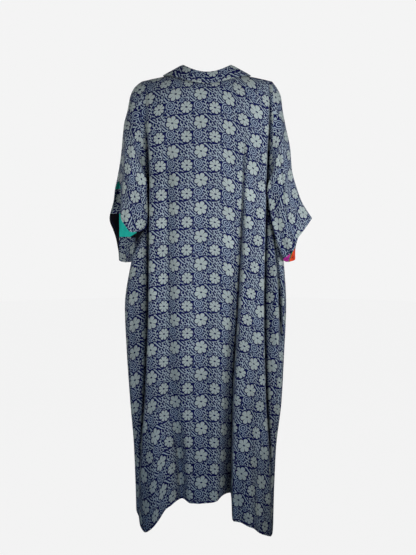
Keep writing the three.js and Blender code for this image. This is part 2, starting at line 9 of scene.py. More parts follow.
# %% Load the fixed frame
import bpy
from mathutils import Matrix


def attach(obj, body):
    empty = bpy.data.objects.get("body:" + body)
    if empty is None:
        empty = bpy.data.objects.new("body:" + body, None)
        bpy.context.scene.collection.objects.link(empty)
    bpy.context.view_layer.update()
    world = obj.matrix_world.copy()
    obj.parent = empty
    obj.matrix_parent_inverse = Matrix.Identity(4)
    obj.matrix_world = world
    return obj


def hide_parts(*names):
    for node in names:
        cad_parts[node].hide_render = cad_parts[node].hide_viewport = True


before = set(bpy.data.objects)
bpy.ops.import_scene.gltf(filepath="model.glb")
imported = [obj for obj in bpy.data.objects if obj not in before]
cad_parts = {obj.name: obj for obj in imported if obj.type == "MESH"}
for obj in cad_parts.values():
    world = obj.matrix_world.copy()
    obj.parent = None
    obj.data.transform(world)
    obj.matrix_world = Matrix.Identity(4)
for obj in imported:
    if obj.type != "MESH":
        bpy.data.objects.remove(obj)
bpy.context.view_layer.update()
print("nodes in the frame:", sorted(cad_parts))

# %% Tools for the whole lesson
import math

import bmesh
import bpy
import numpy as np
from mathutils import Matrix, Vector, noise

MM = 0.001
collection = bpy.context.scene.collection
print("Blender", bpy.app.version_string)

# %% [markdown]
# ## Camera
#
# A garment is pictured from far enough away that its upright lines stay parallel. A 52 mm lens at
# 2.25 m does that. The camera stands behind the wearer and looks down a little.

# %% Camera
PICTURE_HEIGHT = 555
FOCAL_PIXELS = 809
SENSOR = 36

camera = bpy.data.objects.new("camera", bpy.data.cameras.new("camera"))
collection.objects.link(camera)
camera.data.sensor_width = SENSOR
camera.data.lens = FOCAL_PIXELS * SENSOR / PICTURE_HEIGHT
camera.location = (0.003, -2.25, -0.318)
camera.rotation_euler = (math.radians(84), 0, 0)
bpy.context.scene.camera = camera
print(f"lens {camera.data.lens:.1f} mm")

# %% [markdown]
# ## A soft white studio
#
# Soft light comes from large sources. The world gives a weak, even base light. Two lamps on the
# camera's side point at the shoulders and are narrowed, so the cloth is brightest there and falls
# off towards the hem, where a weak, cool lamp takes over. One lamp at each side lights the
# sleeves, and one lights the front. The pale surroundings are a wide floor and a dome that only
# show: if they also lit the cloth, they would wash out its folds, so their light is kept from it.

# %% Colours: sRGB hex to linear
def linear(hex_colour):
    channels = [int(hex_colour[i:i + 2], 16) / 255 for i in (1, 3, 5)]
    return [c / 12.92 if c <= 0.04045 else ((c + 0.055) / 1.055) ** 2.4 for c in channels] + [1]


PALE = linear("#F4F4F4")
print("pale surroundings, linear:", [round(c, 3) for c in PALE[:3]])

# %% One function that adds a shader node
def add(tree, kind, values=(), out=0, **settings):
    """Adds a node, sets it up, fills or links its inputs, and gives one of its outputs."""
    made = tree.nodes.new("ShaderNode" + kind)
    for name, value in settings.items():
        setattr(made, name, value)
    pairs = values.items() if isinstance(values, dict) else enumerate(values)
    for socket, value in pairs:
        if isinstance(value, bpy.types.NodeSocket):
            tree.links.new(value, made.inputs[socket])
        elif value is not None:
            made.inputs[socket].default_value = value
    return made.outputs[out] if len(made.outputs) else made


def new_material(name):
    material = bpy.data.materials.new(name)
    material.use_nodes = True
    material.node_tree.nodes.clear()
    return material, material.node_tree


print("node function ready")

# %% Base light
AMBIENT = 0.04
world = bpy.data.worlds.new("studio")
bpy.context.scene.world = world
world.use_nodes = True
background = world.node_tree.nodes["Background"]
background.inputs["Color"].default_value = PALE
background.inputs["Strength"].default_value = AMBIENT
bpy.context.scene.view_settings.view_transform = "Standard"
print("base light", AMBIENT)

# %% Floor and dome
FLOOR_Z = -1.75
STUDIO_RADIUS = 9
FLOOR_GLOW = 0.985      # share of its own light, so that the floor is as pale as the dome

floor_paint, tree = new_material("pale_floor_paint")
matt = add(tree, "BsdfDiffuse", {"Color": PALE})
glow = add(tree, "Emission", {"Color": PALE, "Strength": 1})
add(tree, "OutputMaterial", [add(tree, "MixShader", [FLOOR_GLOW, matt, glow])])

dome_light, tree = new_material("pale_dome_light")
add(tree, "OutputMaterial", [add(tree, "Emission", {"Color": PALE, "Strength": 1})])


def studio_piece(name, form, material):
    piece = bpy.data.objects.new(name, bpy.data.meshes.new(name))
    form.to_mesh(piece.data)
    form.free()
    piece.data.materials.append(material)
    collection.objects.link(piece)
    for kind in ("diffuse", "glossy", "transmission", "shadow"):
        setattr(piece, "visible_" + kind, False)


form = bmesh.new()
bmesh.ops.create_circle(form, cap_ends=True, segments=96, radius=STUDIO_RADIUS,
                        matrix=Matrix.Translation((0, 0, FLOOR_Z)))
studio_piece("floor", form, floor_paint)
form = bmesh.new()
bmesh.ops.create_uvsphere(form, u_segments=48, v_segments=24, radius=STUDIO_RADIUS)
bmesh.ops.reverse_faces(form, faces=form.faces)
studio_piece("dome", form, dome_light)
print("floor at", FLOOR_Z, "m")

# %% Lamps
# Each row: name, place, target, size, power, spread in degrees and colour.
WHITE, COOL = (1, 1, 1), (0.32, 0.6, 1)
LAMPS = [
    ("key_lamp", (0.85, -1.8, -0.25), (0.03, 0, -0.46), 0.5, 1.98, 69, WHITE),
    ("fill_lamp", (-0.6, -1.9, -0.25), (0, 0, -0.45), 0.5, 1.33, 68, WHITE),
    ("side_lamp", (1.5, -1.0, 0.1), (0.2, 0, -0.3), 0.5, 2.85, 66, WHITE),
    ("far_side_lamp", (-1.4, -1.1, 0.0), (-0.2, 0, -0.3), 0.6, 1.4, 70, WHITE),
    ("low_lamp", (-0.9, -1.6, -1.2), (0.1, 0, -1.15), 0.5, 0.27, 44, COOL),
    ("front_lamp", (-0.9, 2.4, 0.5), (0, 0, -0.5), 1.6, 26, 180, WHITE),
]
for name, place, target, size, power, spread, colour in LAMPS:
    lamp = bpy.data.objects.new(name, bpy.data.lights.new(name, "AREA"))
    lamp.data.size, lamp.data.energy, lamp.data.color = size, power, colour
    lamp.data.spread = math.radians(spread)
    lamp.location = place
    lamp.rotation_euler = (Vector(target) - Vector(place)).to_track_quat("-Z", "Y").to_euler()
    lamp.visible_camera = False
    collection.objects.link(lamp)
print("lamps:", len(LAMPS))

# %% [markdown]
# ## How the cloth hangs
#
# A garment's form can be simulated, but a simulation settles where it likes. The folds of this one
# have known places, so the form is worked out instead: at each height the cloth follows a rounded
# ring, and every fold takes a share of the ring's depth at its own place. The tables below are in
# millimetres. They are the ones that shape the plain solids, with a few places moved by up to a
# centimetre. The origin is on the shoulder line at the middle of the neck, +X is the wearer's right
# and +Y the wearer's front.

# %% Sizes
WALL, LINING_WALL, SEAM = 1.6, 1.0, 0.3
SHOULDER_END, NECK_HALF, NECK_BACK = 176, 70.4, 66
SHOULDER_DROP, SHOULDER_BEND = 18, 1.4
CAP, ARMHOLE_DEPTH = 112, 66
LEVEL_UNDERARM, LEVEL_HEM, DROOP_SPREAD = 253, 1168, 400
BAND, FOLD_ROUND = 58, 2.2
ARMHOLE_MIDDLE = -(SHOULDER_DROP + CAP)
SIDES = ((-1, "left"), (1, "right"))        # -X is the wearer's left
print("hem level", LEVEL_HEM, "mm")

# %% The hanging ring, level by level
RING_LEVEL = [0, 150, 300, 380, 500, 640, 760, 900, 1050, 1280]
RING = {
    "left": [176, 176, 174, 180, 208, 229, 225, 217, 207, 202],
    "right": [176, 176, 174, 179, 212, 221, 217, 211, 196, 190],
    "back": [96, 100, 98, 97, 97, 98, 99, 101, 103, 106],
    "front": [100, 108, 108, 106, 104, 104, 105, 107, 109, 112],
    "round": [1.0, 1.0, 0.62, 0.46, 0.42, 0.42, 0.42, 0.42, 0.40, 0.38],
}
RING_SQUARE = 3.0
DROOP_PLACES = [0, 0.16, 0.30, 0.36, 0.42, 0.46, 0.50, 0.545, 0.64, 0.80, 0.90, 1]
DROOP = {-1: [0, 2, 0, 0, 16, 48, 76, 92, 62, 54, 48, 42],
         1: [0, -11, -4, 10, 50, 57, 70, 96, 122, 98, 90, 88]}
DROOP_LATE = {-1: 2.6, 1: 1.1}
DROOP_NEAR_SEAM = 0.72      # from this share across, the droop starts early
print("widest ring", max(RING["left"]) + max(RING["right"]), "mm")

# %% The main folds
# Each row: spread to the left and right, its places and its shares of the depth at the levels,
# which fold line of the cloth it is, and how far the cloth leans over it.
FOLD_LEVELS = [100, 300, 600, 880, 1050, 1250]
BACK_FOLDS = [
    (58, 11, [-163, -158, -161, -173, -186, -194], [0.04, 0.42, 0.50, 0.46, 0.36, 0.22], 2, -5),
    (10, 7, [-162, -157, -160, -172, -185, -193], [0, 0.30, 0.34, 0.30, 0.16, 0.06], 0, 0),
    (11, 54, [170, 163, 157, 164, 176, 184], [0.06, 0.42, 0.50, 0.46, 0.38, 0.24], 2, 6),
    (7, 10, [170, 162, 156, 163, 175, 183], [0.16, 0.30, 0.34, 0.30, 0.18, 0.08], 0, 0),
    (46, 15, [98, 97, 86, 73, 70, 69], [0, 0.10, 0.24, 0.44, 0.58, 0.72], 1, -11),
    (24, 55, [116, 114, 106, 104, 110, 120], [0, -0.05, -0.10, -0.14, -0.17, -0.20], 0, 0),
    (32, 34, [-112, -108, -104, -98, -78, -70], [0, 0.08, 0.14, 0.13, 0.24, 0.22], 1, 0),
    (44, 40, [-140, -136, -136, -140, -146, -150], [0, -0.02, -0.05, -0.08, -0.14, -0.18], 0, 0),
    (34, 30, [-20, -18, -14, -10, -2, 4], [0, 0.02, 0.05, 0.06, 0.05, 0.03], 0, 0),
    (9, 10, [196, 196, 203, 199, 190, 186], [0, 0, 0.24, 0.16, 0.05, 0], 0, 0),
]
FRONT_FOLDS = [
    (34, 16, [-160, -152, -150, -156, -160, -162], [0.04, 0.40, 0.50, 0.50, 0.44, 0.36], 2, -6),
    (16, 34, [160, 154, 148, 152, 156, 158], [0.04, 0.40, 0.52, 0.50, 0.42, 0.34], 2, 6),
    (20, 26, [-116, -112, -110, -112, -114, -116], [0, 0.04, 0.12, 0.20, 0.28, 0.34], 1, 5),
    (26, 18, [110, 110, 112, 116, 118, 118], [0, 0.06, 0.14, 0.22, 0.26, 0.30], 1, -5),
]
LINE_SHARES = {True: [0.32, 0.64], False: [5 / 21, 11 / 21]}
LINES_START, LINES_SPREAD = 193, 220
DEEPEST_SHARE, FOLD_TO_SEAM = 0.86, 12
print(len(BACK_FOLDS), "folds on the back,", len(FRONT_FOLDS), "on the fronts")

# %% [markdown]
# The solids stop at those folds. Real cloth has smaller ones between them: soft ripples that run
# down from the shoulders and the hips. They share the folds' table, and each takes only a few
# millimetres.

# %% Ripples
BACK_RIPPLES = [
    (9, 14, [-104, -104, -101, -98, -96, -94], [0, 0.05, 0.07, 0.03, 0, 0], 0, 0),
    (20, 16, [-62, -60, -56, -48, -40, -36], [0, 0.012, 0.02, 0.03, 0.045, 0.05], 0, 0),
    (18, 24, [26, 28, 30, 30, 34, 38], [0, 0.010, 0.02, 0.02, 0.03, 0.035], 0, 0),
    (16, 14, [136, 136, 132, 130, 136, 142], [0, 0.04, 0.05, 0.06, 0.08, 0.10], 0, 0),
    (12, 16, [-186, -186, -196, -200, -204, -206], [0, 0, 0.10, 0.10, 0.08, 0.04], 0, 0),
    (10, 12, [150, 146, 142, 144, 152, 160], [0.02, 0.05, 0.04, 0.03, 0.04, 0.05], 0, 0),
    (6, 7, [168, 162, 156, 163, 175, 183], [0.10, 0.16, 0.18, 0.16, 0.08, 0.02], 0, 0),
    (6, 6, [-162, -157, -160, -172, -185, -193], [0.06, 0.16, 0.18, 0.12, 0.04, 0], 0, 0),
    (6, 8, [170, 176, 199, 214, 214, 214], [0, 0.16, 0.42, 0.10, 0, 0], 0, 0),
    (20, 24, [-100, -98, -94, -86, -76, -66], [0, 0, 0, 0.03, 0.13, 0.15], 0, 0),
    (5, 6, [98, 97, 86, 73, 70, 69], [0, 0.08, 0.14, 0.14, 0.08, 0.02], 0, 0),
]
FRONT_RIPPLES = [
    (16, 18, [-136, -134, -132, -134, -138, -140], [0, 0.03, 0.05, 0.05, 0.06, 0.08], 0, 0),
    (18, 16, [134, 132, 130, 132, 138, 140], [0, 0.03, 0.05, 0.06, 0.06, 0.08], 0, 0),
    (14, 14, [-190, -190, -200, -198, -190, -186], [0, 0, 0.12, 0.10, 0.06, 0.04], 0, 0),
    (14, 14, [186, 186, 196, 190, 182, 176], [0, 0, 0.12, 0.10, 0.06, 0.04], 0, 0),
]
FOLDS = {True: BACK_FOLDS + BACK_RIPPLES, False: FRONT_FOLDS + FRONT_RIPPLES}
print("ripples:", len(BACK_RIPPLES) + len(FRONT_RIPPLES))

# %% Small curves
def mix(a, b, share):
    return a + (b - a) * share


def smooth(share):
    s = np.clip(share, 0, 1)
    return s * s * (3 - 2 * s)


def track(stations, values, at):
    """A smooth value through a table of stations, level beyond its ends."""
    s, v = np.asarray(stations, float), np.asarray(values, float)
    at = np.clip(at, s[0], s[-1])
    i = np.clip(np.searchsorted(s, at, side="right") - 1, 0, len(s) - 2)
    slope = np.diff(v) / np.diff(s)
    before, after = slope[:-1], slope[1:]
    tangent = np.zeros(len(s))
    same = before * after > 0
    tangent[1:-1][same] = (2 * before * after)[same] / (before + after)[same]
    span = s[i + 1] - s[i]
    t = (at - s[i]) / span
    return ((2 * t**3 - 3 * t**2 + 1) * v[i] + (t**3 - 2 * t**2 + t) * span * tangent[i]
            + (3 * t**2 - 2 * t**3) * v[i + 1] + (t**3 - t**2) * span * tangent[i + 1])


def run_along(points, axis=0):
    """How far each point lies along its line of points, from the line's first point."""
    steps = np.linalg.norm(np.diff(points, axis=axis), axis=-1)
    return np.insert(np.cumsum(steps, axis), 0, 0, axis)


print("half way up a smooth step:", float(smooth(0.5)))

# %% Heights: the shoulder line, and how the sides droop
def shoulder_line(x):
    share = np.clip((np.abs(x) - NECK_HALF) / (SHOULDER_END - NECK_HALF), 0, 1)
    return -SHOULDER_DROP * share**SHOULDER_BEND


def height_at(side, u, x, level):
    """The threads keep level for long and droop near the hem, but by the side seam at once."""
    hanging = track(DROOP_PLACES, DROOP[side], u)
    late = np.clip((level - CAP) / (LEVEL_HEM - CAP), 0, 1) ** DROOP_LATE[side]
    early = smooth((level - CAP) / DROOP_SPREAD)
    start = -shoulder_line(x) * (1 - early)
    at_seam = smooth((u - DROOP_NEAR_SEAM) / (1 - DROOP_NEAR_SEAM))
    return -level - start - hanging * mix(late, early, at_seam)


UNDERARM = {side: float(height_at(side, 1, SHOULDER_END, LEVEL_UNDERARM)) for side, _ in SIDES}
print("underarm heights:", UNDERARM)

# %% Depth of the cloth from the shoulder plane
def ring_end(side, z):
    below = track(RING_LEVEL, RING[dict(SIDES)[side]], -z)
    return np.where(z >= UNDERARM[side], SHOULDER_END, below)


def armhole_half(side, z):
    share = np.clip((ARMHOLE_MIDDLE - z) / (ARMHOLE_MIDDLE - UNDERARM[side]), 0, 1)
    return ARMHOLE_DEPTH * np.sqrt(1 - share * share)


def fold_share(at_back, x, level):
    total = np.zeros(np.broadcast(x, level).shape)
    for left, right, at, share, _, _ in FOLDS[at_back]:
        offset = x - track(FOLD_LEVELS, at, level)
        away = np.abs(offset) / np.where(offset < 0, left, right)
        total = total + track(FOLD_LEVELS, share, level) * (1 - smooth(away))
    return np.minimum(total, DEEPEST_SHARE)


def depth_at(side, x, z, at_back):
    x, z = np.broadcast_arrays(np.asarray(x, float), np.asarray(z, float))
    full = track(RING_LEVEL, RING["back" if at_back else "front"], -z)
    above = z > UNDERARM[side]
    edge = np.where(above, armhole_half(side, z), 0)
    across = np.minimum(np.abs(x) / ring_end(side, z), 1)
    arch = (1 - across**RING_SQUARE) ** track(RING_LEVEL, RING["round"], -z)
    room = smooth((SHOULDER_END - np.abs(x)) / FOLD_TO_SEAM) * smooth((shoulder_line(x) - z) / CAP)
    folded = fold_share(at_back, x, -z) * np.where(above, room, 1)
    return (edge + (full - edge) * arch) * (1 - folded)


print("depth behind the hips:", round(float(depth_at(1, 0, -700, True)), 1), "mm")

# %% [markdown]
# A fold must keep its own threads all the way down, or its crease turns into a saw edge. So each
# half of the cloth is measured along its section, and the fold lines keep fixed shares of it.

# %% One horizontal section
SECTION_POINTS = 260


def section(side, z, start, shares, at_back):
    """x, depth at shares of the way from x = start to the side, fold lines kept in place."""
    angle = np.linspace(0, math.pi / 2, SECTION_POINTS)
    x = start + (float(ring_end(side, z)) - start) * np.sin(angle)
    y = depth_at(side, side * x, z, at_back)
    length = run_along(np.stack([x, y], -1))
    lines = sorted((f[4], abs(float(track(FOLD_LEVELS, f[2], -z)))) for f in FOLDS[at_back]
                   if f[4] and math.copysign(1, f[2][0]) == side)
    settled = float(smooth((-z - LINES_START) / LINES_SPREAD))
    knots, places = [0], [0]
    for (line, place), share in zip(lines, LINE_SHARES[at_back]):
        knots.append(mix((place - start) / (SHOULDER_END - start), share, settled))
        places.append(float(np.interp(place, x, length)))
    goal = np.interp(shares, knots + [1], places + [length[-1]])
    return np.interp(goal, length, x), np.interp(goal, length, y)


x, y = section(1, -700, 0, np.array([0, 0.5, 1]), True)
print("a section at 700 mm:", np.round(x), np.round(y))

# %% The rounding over the shoulder
def cap_point(side, x, share, at_back):
    """y, z on the quarter turn from the shoulder line, or the neckline, to the full depth."""
    top = shoulder_line(x)
    low = depth_at(side, side * x, top - CAP, at_back)

    def full(angle):
        here = depth_at(side, side * x, top - CAP * (1 - np.cos(angle)), at_back)
        return mix(low, here, share)

    across = np.minimum(np.abs(x) / NECK_HALF, 1)
    neckline = NECK_BACK * np.sqrt(1 - across * across) if at_back else 0 * across
    angle = mix(np.arcsin(neckline / full(0 * across)), math.pi / 2, share)
    return full(angle) * np.sin(angle), top - CAP * (1 - np.cos(angle))


def top_place(u, start):
    """Spread of the top row over x: evenly round the neckline, then along the shoulder."""
    neck_share = NECK_HALF / SHOULDER_END
    if start > 0:
        return mix(start, SHOULDER_END, u)
    return np.where(u >= neck_share, SHOULDER_END * u,
                    NECK_HALF * np.sin(np.minimum(u / neck_share, 1) * math.pi / 2))


print("top of the back at the middle:", [round(float(v), 1) for v in cap_point(1, 0.0, 0.0, True)])

# %% [markdown]
# ## Half a panel of cloth
#
# A point of the cloth is named by its share across (u) and its row. Three stretches of rows make a
# panel: the rounding over the shoulder, the stretch beside the armhole, and the skirt. Each point
# also gets its place on the flat cloth, measured along the surface, so that the print is neither
# squeezed nor stretched.

# %% Rows of a panel
CAP_ROWS, ARMHOLE_ROWS, SKIRT_ROWS = 16, 34, 196
PANEL_ROWS = CAP_ROWS + ARMHOLE_ROWS + SKIRT_ROWS


def row_level(row):
    below = row - CAP_ROWS
    return np.where(below <= ARMHOLE_ROWS, mix(CAP, LEVEL_UNDERARM, below / ARMHOLE_ROWS),
                    mix(LEVEL_UNDERARM, LEVEL_HEM, (below - ARMHOLE_ROWS) / SKIRT_ROWS))


print("rows:", PANEL_ROWS)

# %% Half a panel
SECTION_HEIGHTS = np.linspace(-60, -1300, 560)
LEAN_INTO, LEAN_BEYOND = 11, 26     # how far a lean reaches into its fold, and away from it
LEAN_FULL_SHARE = 0.4               # a fold this deep has its full lean
LEAN_START, LEAN_SPREAD = 170, 160


def lean_over(at_back, side, x, z):
    """How far the cloth beside a deep fold leans over it, which shuts the fold from view."""
    shift = 0 * x
    for left, right, at, share, _, lean in FOLDS[at_back]:
        if lean:
            lip = right if abs(right) < abs(left) else -left
            offset = side * x - (track(FOLD_LEVELS, at, -z) + lip)
            amount = lean * np.minimum(track(FOLD_LEVELS, share, -z) / LEAN_FULL_SHARE, 1)
            reach = np.where(offset * lip < 0, LEAN_INTO, LEAN_BEYOND)
            shift = shift + side * amount * np.exp(-((offset / reach) ** 2))
    return shift * smooth((-z - LEAN_START) / LEAN_SPREAD)


def half_panel(side, shares, inner, at_back):
    """Points (rows, columns, 3) and cloth places (rows, columns, 2) of one half, in mm."""
    facing = -1 if at_back else 1
    rows = []
    for row in range(CAP_ROWS + 1):
        share = row / CAP_ROWS
        x = mix(top_place(shares, inner(0)), mix(inner(0), SHOULDER_END, shares), share)
        y, z = cap_point(side, x, share, at_back)
        rows.append(np.stack([side * x, facing * np.maximum(y, SEAM / 2), z], -1))
    table = [section(side, z, float(inner(-z)), shares, at_back) for z in SECTION_HEIGHTS]
    across, depth = np.array(table).transpose(1, 0, 2)
    for row in range(CAP_ROWS + 1, PANEL_ROWS + 1):
        level = float(row_level(row))
        z = height_at(side, shares, mix(inner(level), SHOULDER_END, shares), level)
        x, y = (np.array([np.interp(-z[j], -SECTION_HEIGHTS, part[:, j]) for j in range(len(z))])
                for part in (across, depth))
        x = x + lean_over(at_back, side, x, z)
        rows.append(np.stack([side * x, facing * np.maximum(y, SEAM / 2), z], -1))
    points = np.array(rows)
    cloth_x = side * (inner(0) + run_along(points, 1))
    levels = CAP - run_along(points[CAP_ROWS::-1])[::-1]
    skirt = row_level(np.arange(CAP_ROWS + 1, PANEL_ROWS + 1))[:, None] + 0 * cloth_x[CAP_ROWS + 1:]
    return points, np.stack([cloth_x, -np.concatenate([levels, skirt])], -1)


print("sections in the table:", len(SECTION_HEIGHTS))

# %% [markdown]
# Last come the small marks of wear: faint slanting creases where the arm pulls, and a slight
# unevenness everywhere. Blender's own noise gives the same unevenness on every run.

# %% Creases and unevenness
# Each crease: from (x, z) to (x, z), its width and its depth in millimetres.
BACK_CREASES = [
    (-150, -150, -118, -236, 9, 1.6), (-152, -196, -128, -300, 8, 1.8),
    (150, -150, 122, -250, 9, 1.6), (156, -210, 130, -320, 8, 1.8),
    (-172, -300, -196, -420, 9, 3.0), (-180, -380, -206, -520, 11, 2.6),
    (178, -300, 196, -410, 9, 3.0), (184, -360, 204, -470, 9, 2.6),
    (-60, -520, -66, -760, 16, 1.6), (36, -420, 34, -700, 18, 1.4), (-8, -700, 6, -1000, 20, 1.8),
    (112, -520, 122, -800, 14, 2.2), (132, -760, 140, -1040, 13, 2.4),
    (96, -880, 104, -1150, 10, 2.0), (-120, -860, -128, -1130, 14, 2.2),
    (-158, -900, -168, -1160, 12, 2.2), (-40, -930, -52, -1140, 16, 2.0),
    (40, -960, 36, -1120, 14, 1.6), (-190, -640, -200, -860, 12, 2.4),
]
FRONT_CREASES = [
    (-140, -160, -110, -260, 9, 1.6), (140, -160, 112, -262, 9, 1.6),
    (-176, -300, -198, -420, 9, 2.8), (176, -300, 196, -420, 9, 2.8),
    (-128, -560, -130, -860, 14, 2.0), (128, -600, 132, -900, 14, 2.0),
    (-182, -620, -190, -900, 12, 2.2), (182, -640, 182, -940, 12, 2.2),
]
CREASES = {True: BACK_CREASES, False: FRONT_CREASES}
CREASE_ENDS = 4         # a crease fades over a quarter of its length at each end


def unevenness(points):
    """Soft bumps about 60 mm and 22 mm apart, in mm, at each point of a grid."""
    def at(x, y, z):
        broad = noise.noise(Vector((x / 60, y / 60, z / 95)))
        fine = noise.noise(Vector((x / 20 + 7, y / 20, z / 30)))
        return 1.5 * broad + 0.45 * fine

    return np.array([[at(*place) for place in row] for row in points])


def crease_depth(at_back, x, z):
    total = 0 * x
    for x0, z0, x1, z1, width, depth in CREASES[at_back]:
        run = np.array([x1 - x0, z1 - z0], float)
        share = np.clip(((x - x0) * run[0] + (z - z0) * run[1]) / (run @ run), 0, 1)
        away = np.hypot(x - (x0 + run[0] * share), z - (z0 + run[1] * share))
        ends = smooth(share * CREASE_ENDS) * smooth((1 - share) * CREASE_ENDS)
        total = total + depth * ends * np.exp(-((away / width) ** 2))
    return total


print("creases:", len(BACK_CREASES) + len(FRONT_CREASES))

# %% [markdown]
# ## From points to cloth
#
# Every piece starts as a bmesh grid, because a woven cloth is a grid. Each corner of the grid
# moves to its place, the cloth places go into a UV map for the print, and a second UV map holds
# the distance to the finished edge for the stitching. A Solidify modifier gives the cloth its
# thickness and turns its inner side to the lining's colour, and is applied at once.

# %% One piece of cloth
def cloth_piece(name, points, cloth, edges, inside, materials, thickness=WALL, tube=False):
    """points, cloth and edges are (rows, columns, ...) in mm; inside is a point in the piece."""
    rows, columns = points.shape[0] - 1, points.shape[1] - 1
    form = bmesh.new()
    print_map = form.loops.layers.uv.new("cloth")
    stitch_map = form.loops.layers.uv.new("edge")
    bmesh.ops.create_grid(form, x_segments=columns, y_segments=rows, size=0.5)
    places = {}
    for corner in form.verts:
        row = round((0.5 - corner.co.y) * rows)
        column = round((corner.co.x + 0.5) * columns)
        places[corner.index] = (row, column)
        corner.co = Vector(points[row, column]) * MM
    for face in form.faces:
        face.smooth = True
        for loop in face.loops:
            place = places[loop.vert.index]
            loop[print_map].uv = Vector(cloth[place]) * MM
            loop[stitch_map].uv = Vector(edges[place]) * MM
    if tube:
        bmesh.ops.remove_doubles(form, verts=form.verts, dist=1e-5)
    form.normal_update()
    outwards = sum(f.normal.dot(f.calc_center_median() - Vector(inside) * MM) for f in form.faces)
    if outwards < 0:
        bmesh.ops.reverse_faces(form, faces=form.faces)
    mesh = bpy.data.meshes.new(name)
    form.to_mesh(mesh)
    form.free()
    piece = bpy.data.objects.new(name, mesh)
    collection.objects.link(piece)
    for material in materials:
        mesh.materials.append(material)
    shell = piece.modifiers.new("shell", "SOLIDIFY")
    shell.thickness = thickness * MM
    shell.offset = 0
    shell.material_offset = len(materials) - 1
    graph = bpy.context.evaluated_depsgraph_get()
    finished = bpy.data.meshes.new_from_object(piece.evaluated_get(graph))
    piece.modifiers.clear()
    piece.data = finished
    finished.set_sharp_from_angle(angle=math.radians(60))
    print(f"{name}: {len(finished.polygons)} faces, {columns} x {rows} cells")
    return piece


def print_flat(name, points):
    """Prints the longest run across and down a piece, and its area."""
    across = np.linalg.norm(np.diff(points, axis=1), axis=2)
    down = np.linalg.norm(np.diff(points, axis=0), axis=2)
    area = (across[:-1] + across[1:]) / 2 * (down[:, :-1] + down[:, 1:]) / 2
    print(f"{name}, flat: {across.sum(1).max() * MM:.3f} x {down.sum(0).max() * MM:.3f} m, "
          f"{area.sum() * MM * MM:.3f} m2")


print("cloth maker ready")

# %% [markdown]
# ## The printed cotton
#
# Block-printed cotton: navy dye on a pale ground, so that pale flowers stand in a navy field. The
# dye sinks in, so the cloth stays matt, with only the faint sheen of its threads. The pattern is
# drawn in millimetres on the flat cloth, in a square repeat of 75 mm: a large six-petalled flower,
# a smaller rosette half a repeat away, rings and slanting dashes between them, a wavy dark line
# with small leaves, and a fill of little hooks. A flower is worked out from the distance and the
# angle round its centre, because then its petals stay crisp at any size.

# %% The repeat
# Sizes are in millimetres, and centres are in repeats.
REPEAT = 75
NAVY, SILVER, SLATE = linear("#070C43"), linear("#A3AEAA"), linear("#5374A6")
WANDER = 0.07           # how far a hand-printed motif strays
FLOWERS = [             # centre, radius, petals, turn, share of the radius left in a notch
    ((0, 0), 18.2, 6, 0.26, 0.80), ((0.5, 0.52), 15.4, 8, 0.1, 0.86)]
RINGS = [               # centre, radius, spacing, stretch
    ((0.91, 0.60), 13.5, 5.4, (1, 1.1)), ((0.98, 0.36), 6.2, 4.4, (1, 1)),
    ((0.31, -0.24), 7.2, 4.4, (1, 1)), ((0.76, 0.42), 4.6, 9.5, (1.3, 0.8))]
DASH_PATCHES = [((0.26, 0.17), 9.5), ((0.72, 0.86), 9), ((0.83, 0.30), 7)]
LEAVES = [(0.62, 0.285), (0.14, 0.262), (0.86, 0.262)]
HOOK_TONE, DASH_TONE, RING_TONE, LEAF_TONE = 0.85, 0.86, 0.82, 0.85


def repeat_space(tree, shift_x, shift_y):
    """The cloth's UV in repeats, with a slight hand-printed wander."""
    places = add(tree, "UVMap", uv_map="cloth")
    in_repeats = add(tree, "Mapping", {"Vector": places, "Location": (shift_x, shift_y, 0),
                                       "Scale": (1000 / REPEAT, 1000 / REPEAT, 1)})
    noisy = add(tree, "TexNoise", {"Vector": in_repeats, "Scale": 1.3, "Detail": 1}, out="Color")
    centred = add(tree, "VectorMath", [noisy, (0.5, 0.5, 0.5)], operation="SUBTRACT")
    return add(tree, "VectorMath", [centred, (WANDER, WANDER, 0), in_repeats],
               operation="MULTIPLY_ADD")


def around(tree, space, centre, stretch=(1, 1), turn=0):
    """Millimetres from the nearest repeat of a centre."""
    moved = add(tree, "VectorMath", [space, (*centre, 0)], operation="SUBTRACT")
    near = add(tree, "VectorMath", [moved, (0.5, 0.5, 0.5), (-0.5, -0.5, -0.5)], operation="WRAP")
    return add(tree, "Mapping", {"Vector": near, "Rotation": (0, 0, turn),
                                 "Scale": (REPEAT * stretch[0], REPEAT * stretch[1], 0)})


def patch(tree, space, centre, radius, stretch=(1, 1), turn=0):
    """A round or oval patch as a mask, with the distance from its centre."""
    local = around(tree, space, centre, stretch, turn)
    far = add(tree, "VectorMath", [local], out="Value", operation="LENGTH")
    return add(tree, "Math", [far, radius], operation="LESS_THAN"), far


print("flowers:", len(FLOWERS), "in a repeat of", REPEAT, "mm")

# %% A flower
HALO, PETAL_ROUNDNESS = 3.3, 0.42
GAP_WIDTH, GAP_BEND = 0.018, 1.4
HEART_RADIUS, HEART_STRETCH = 1.9, (0.56, 0.84, 1)


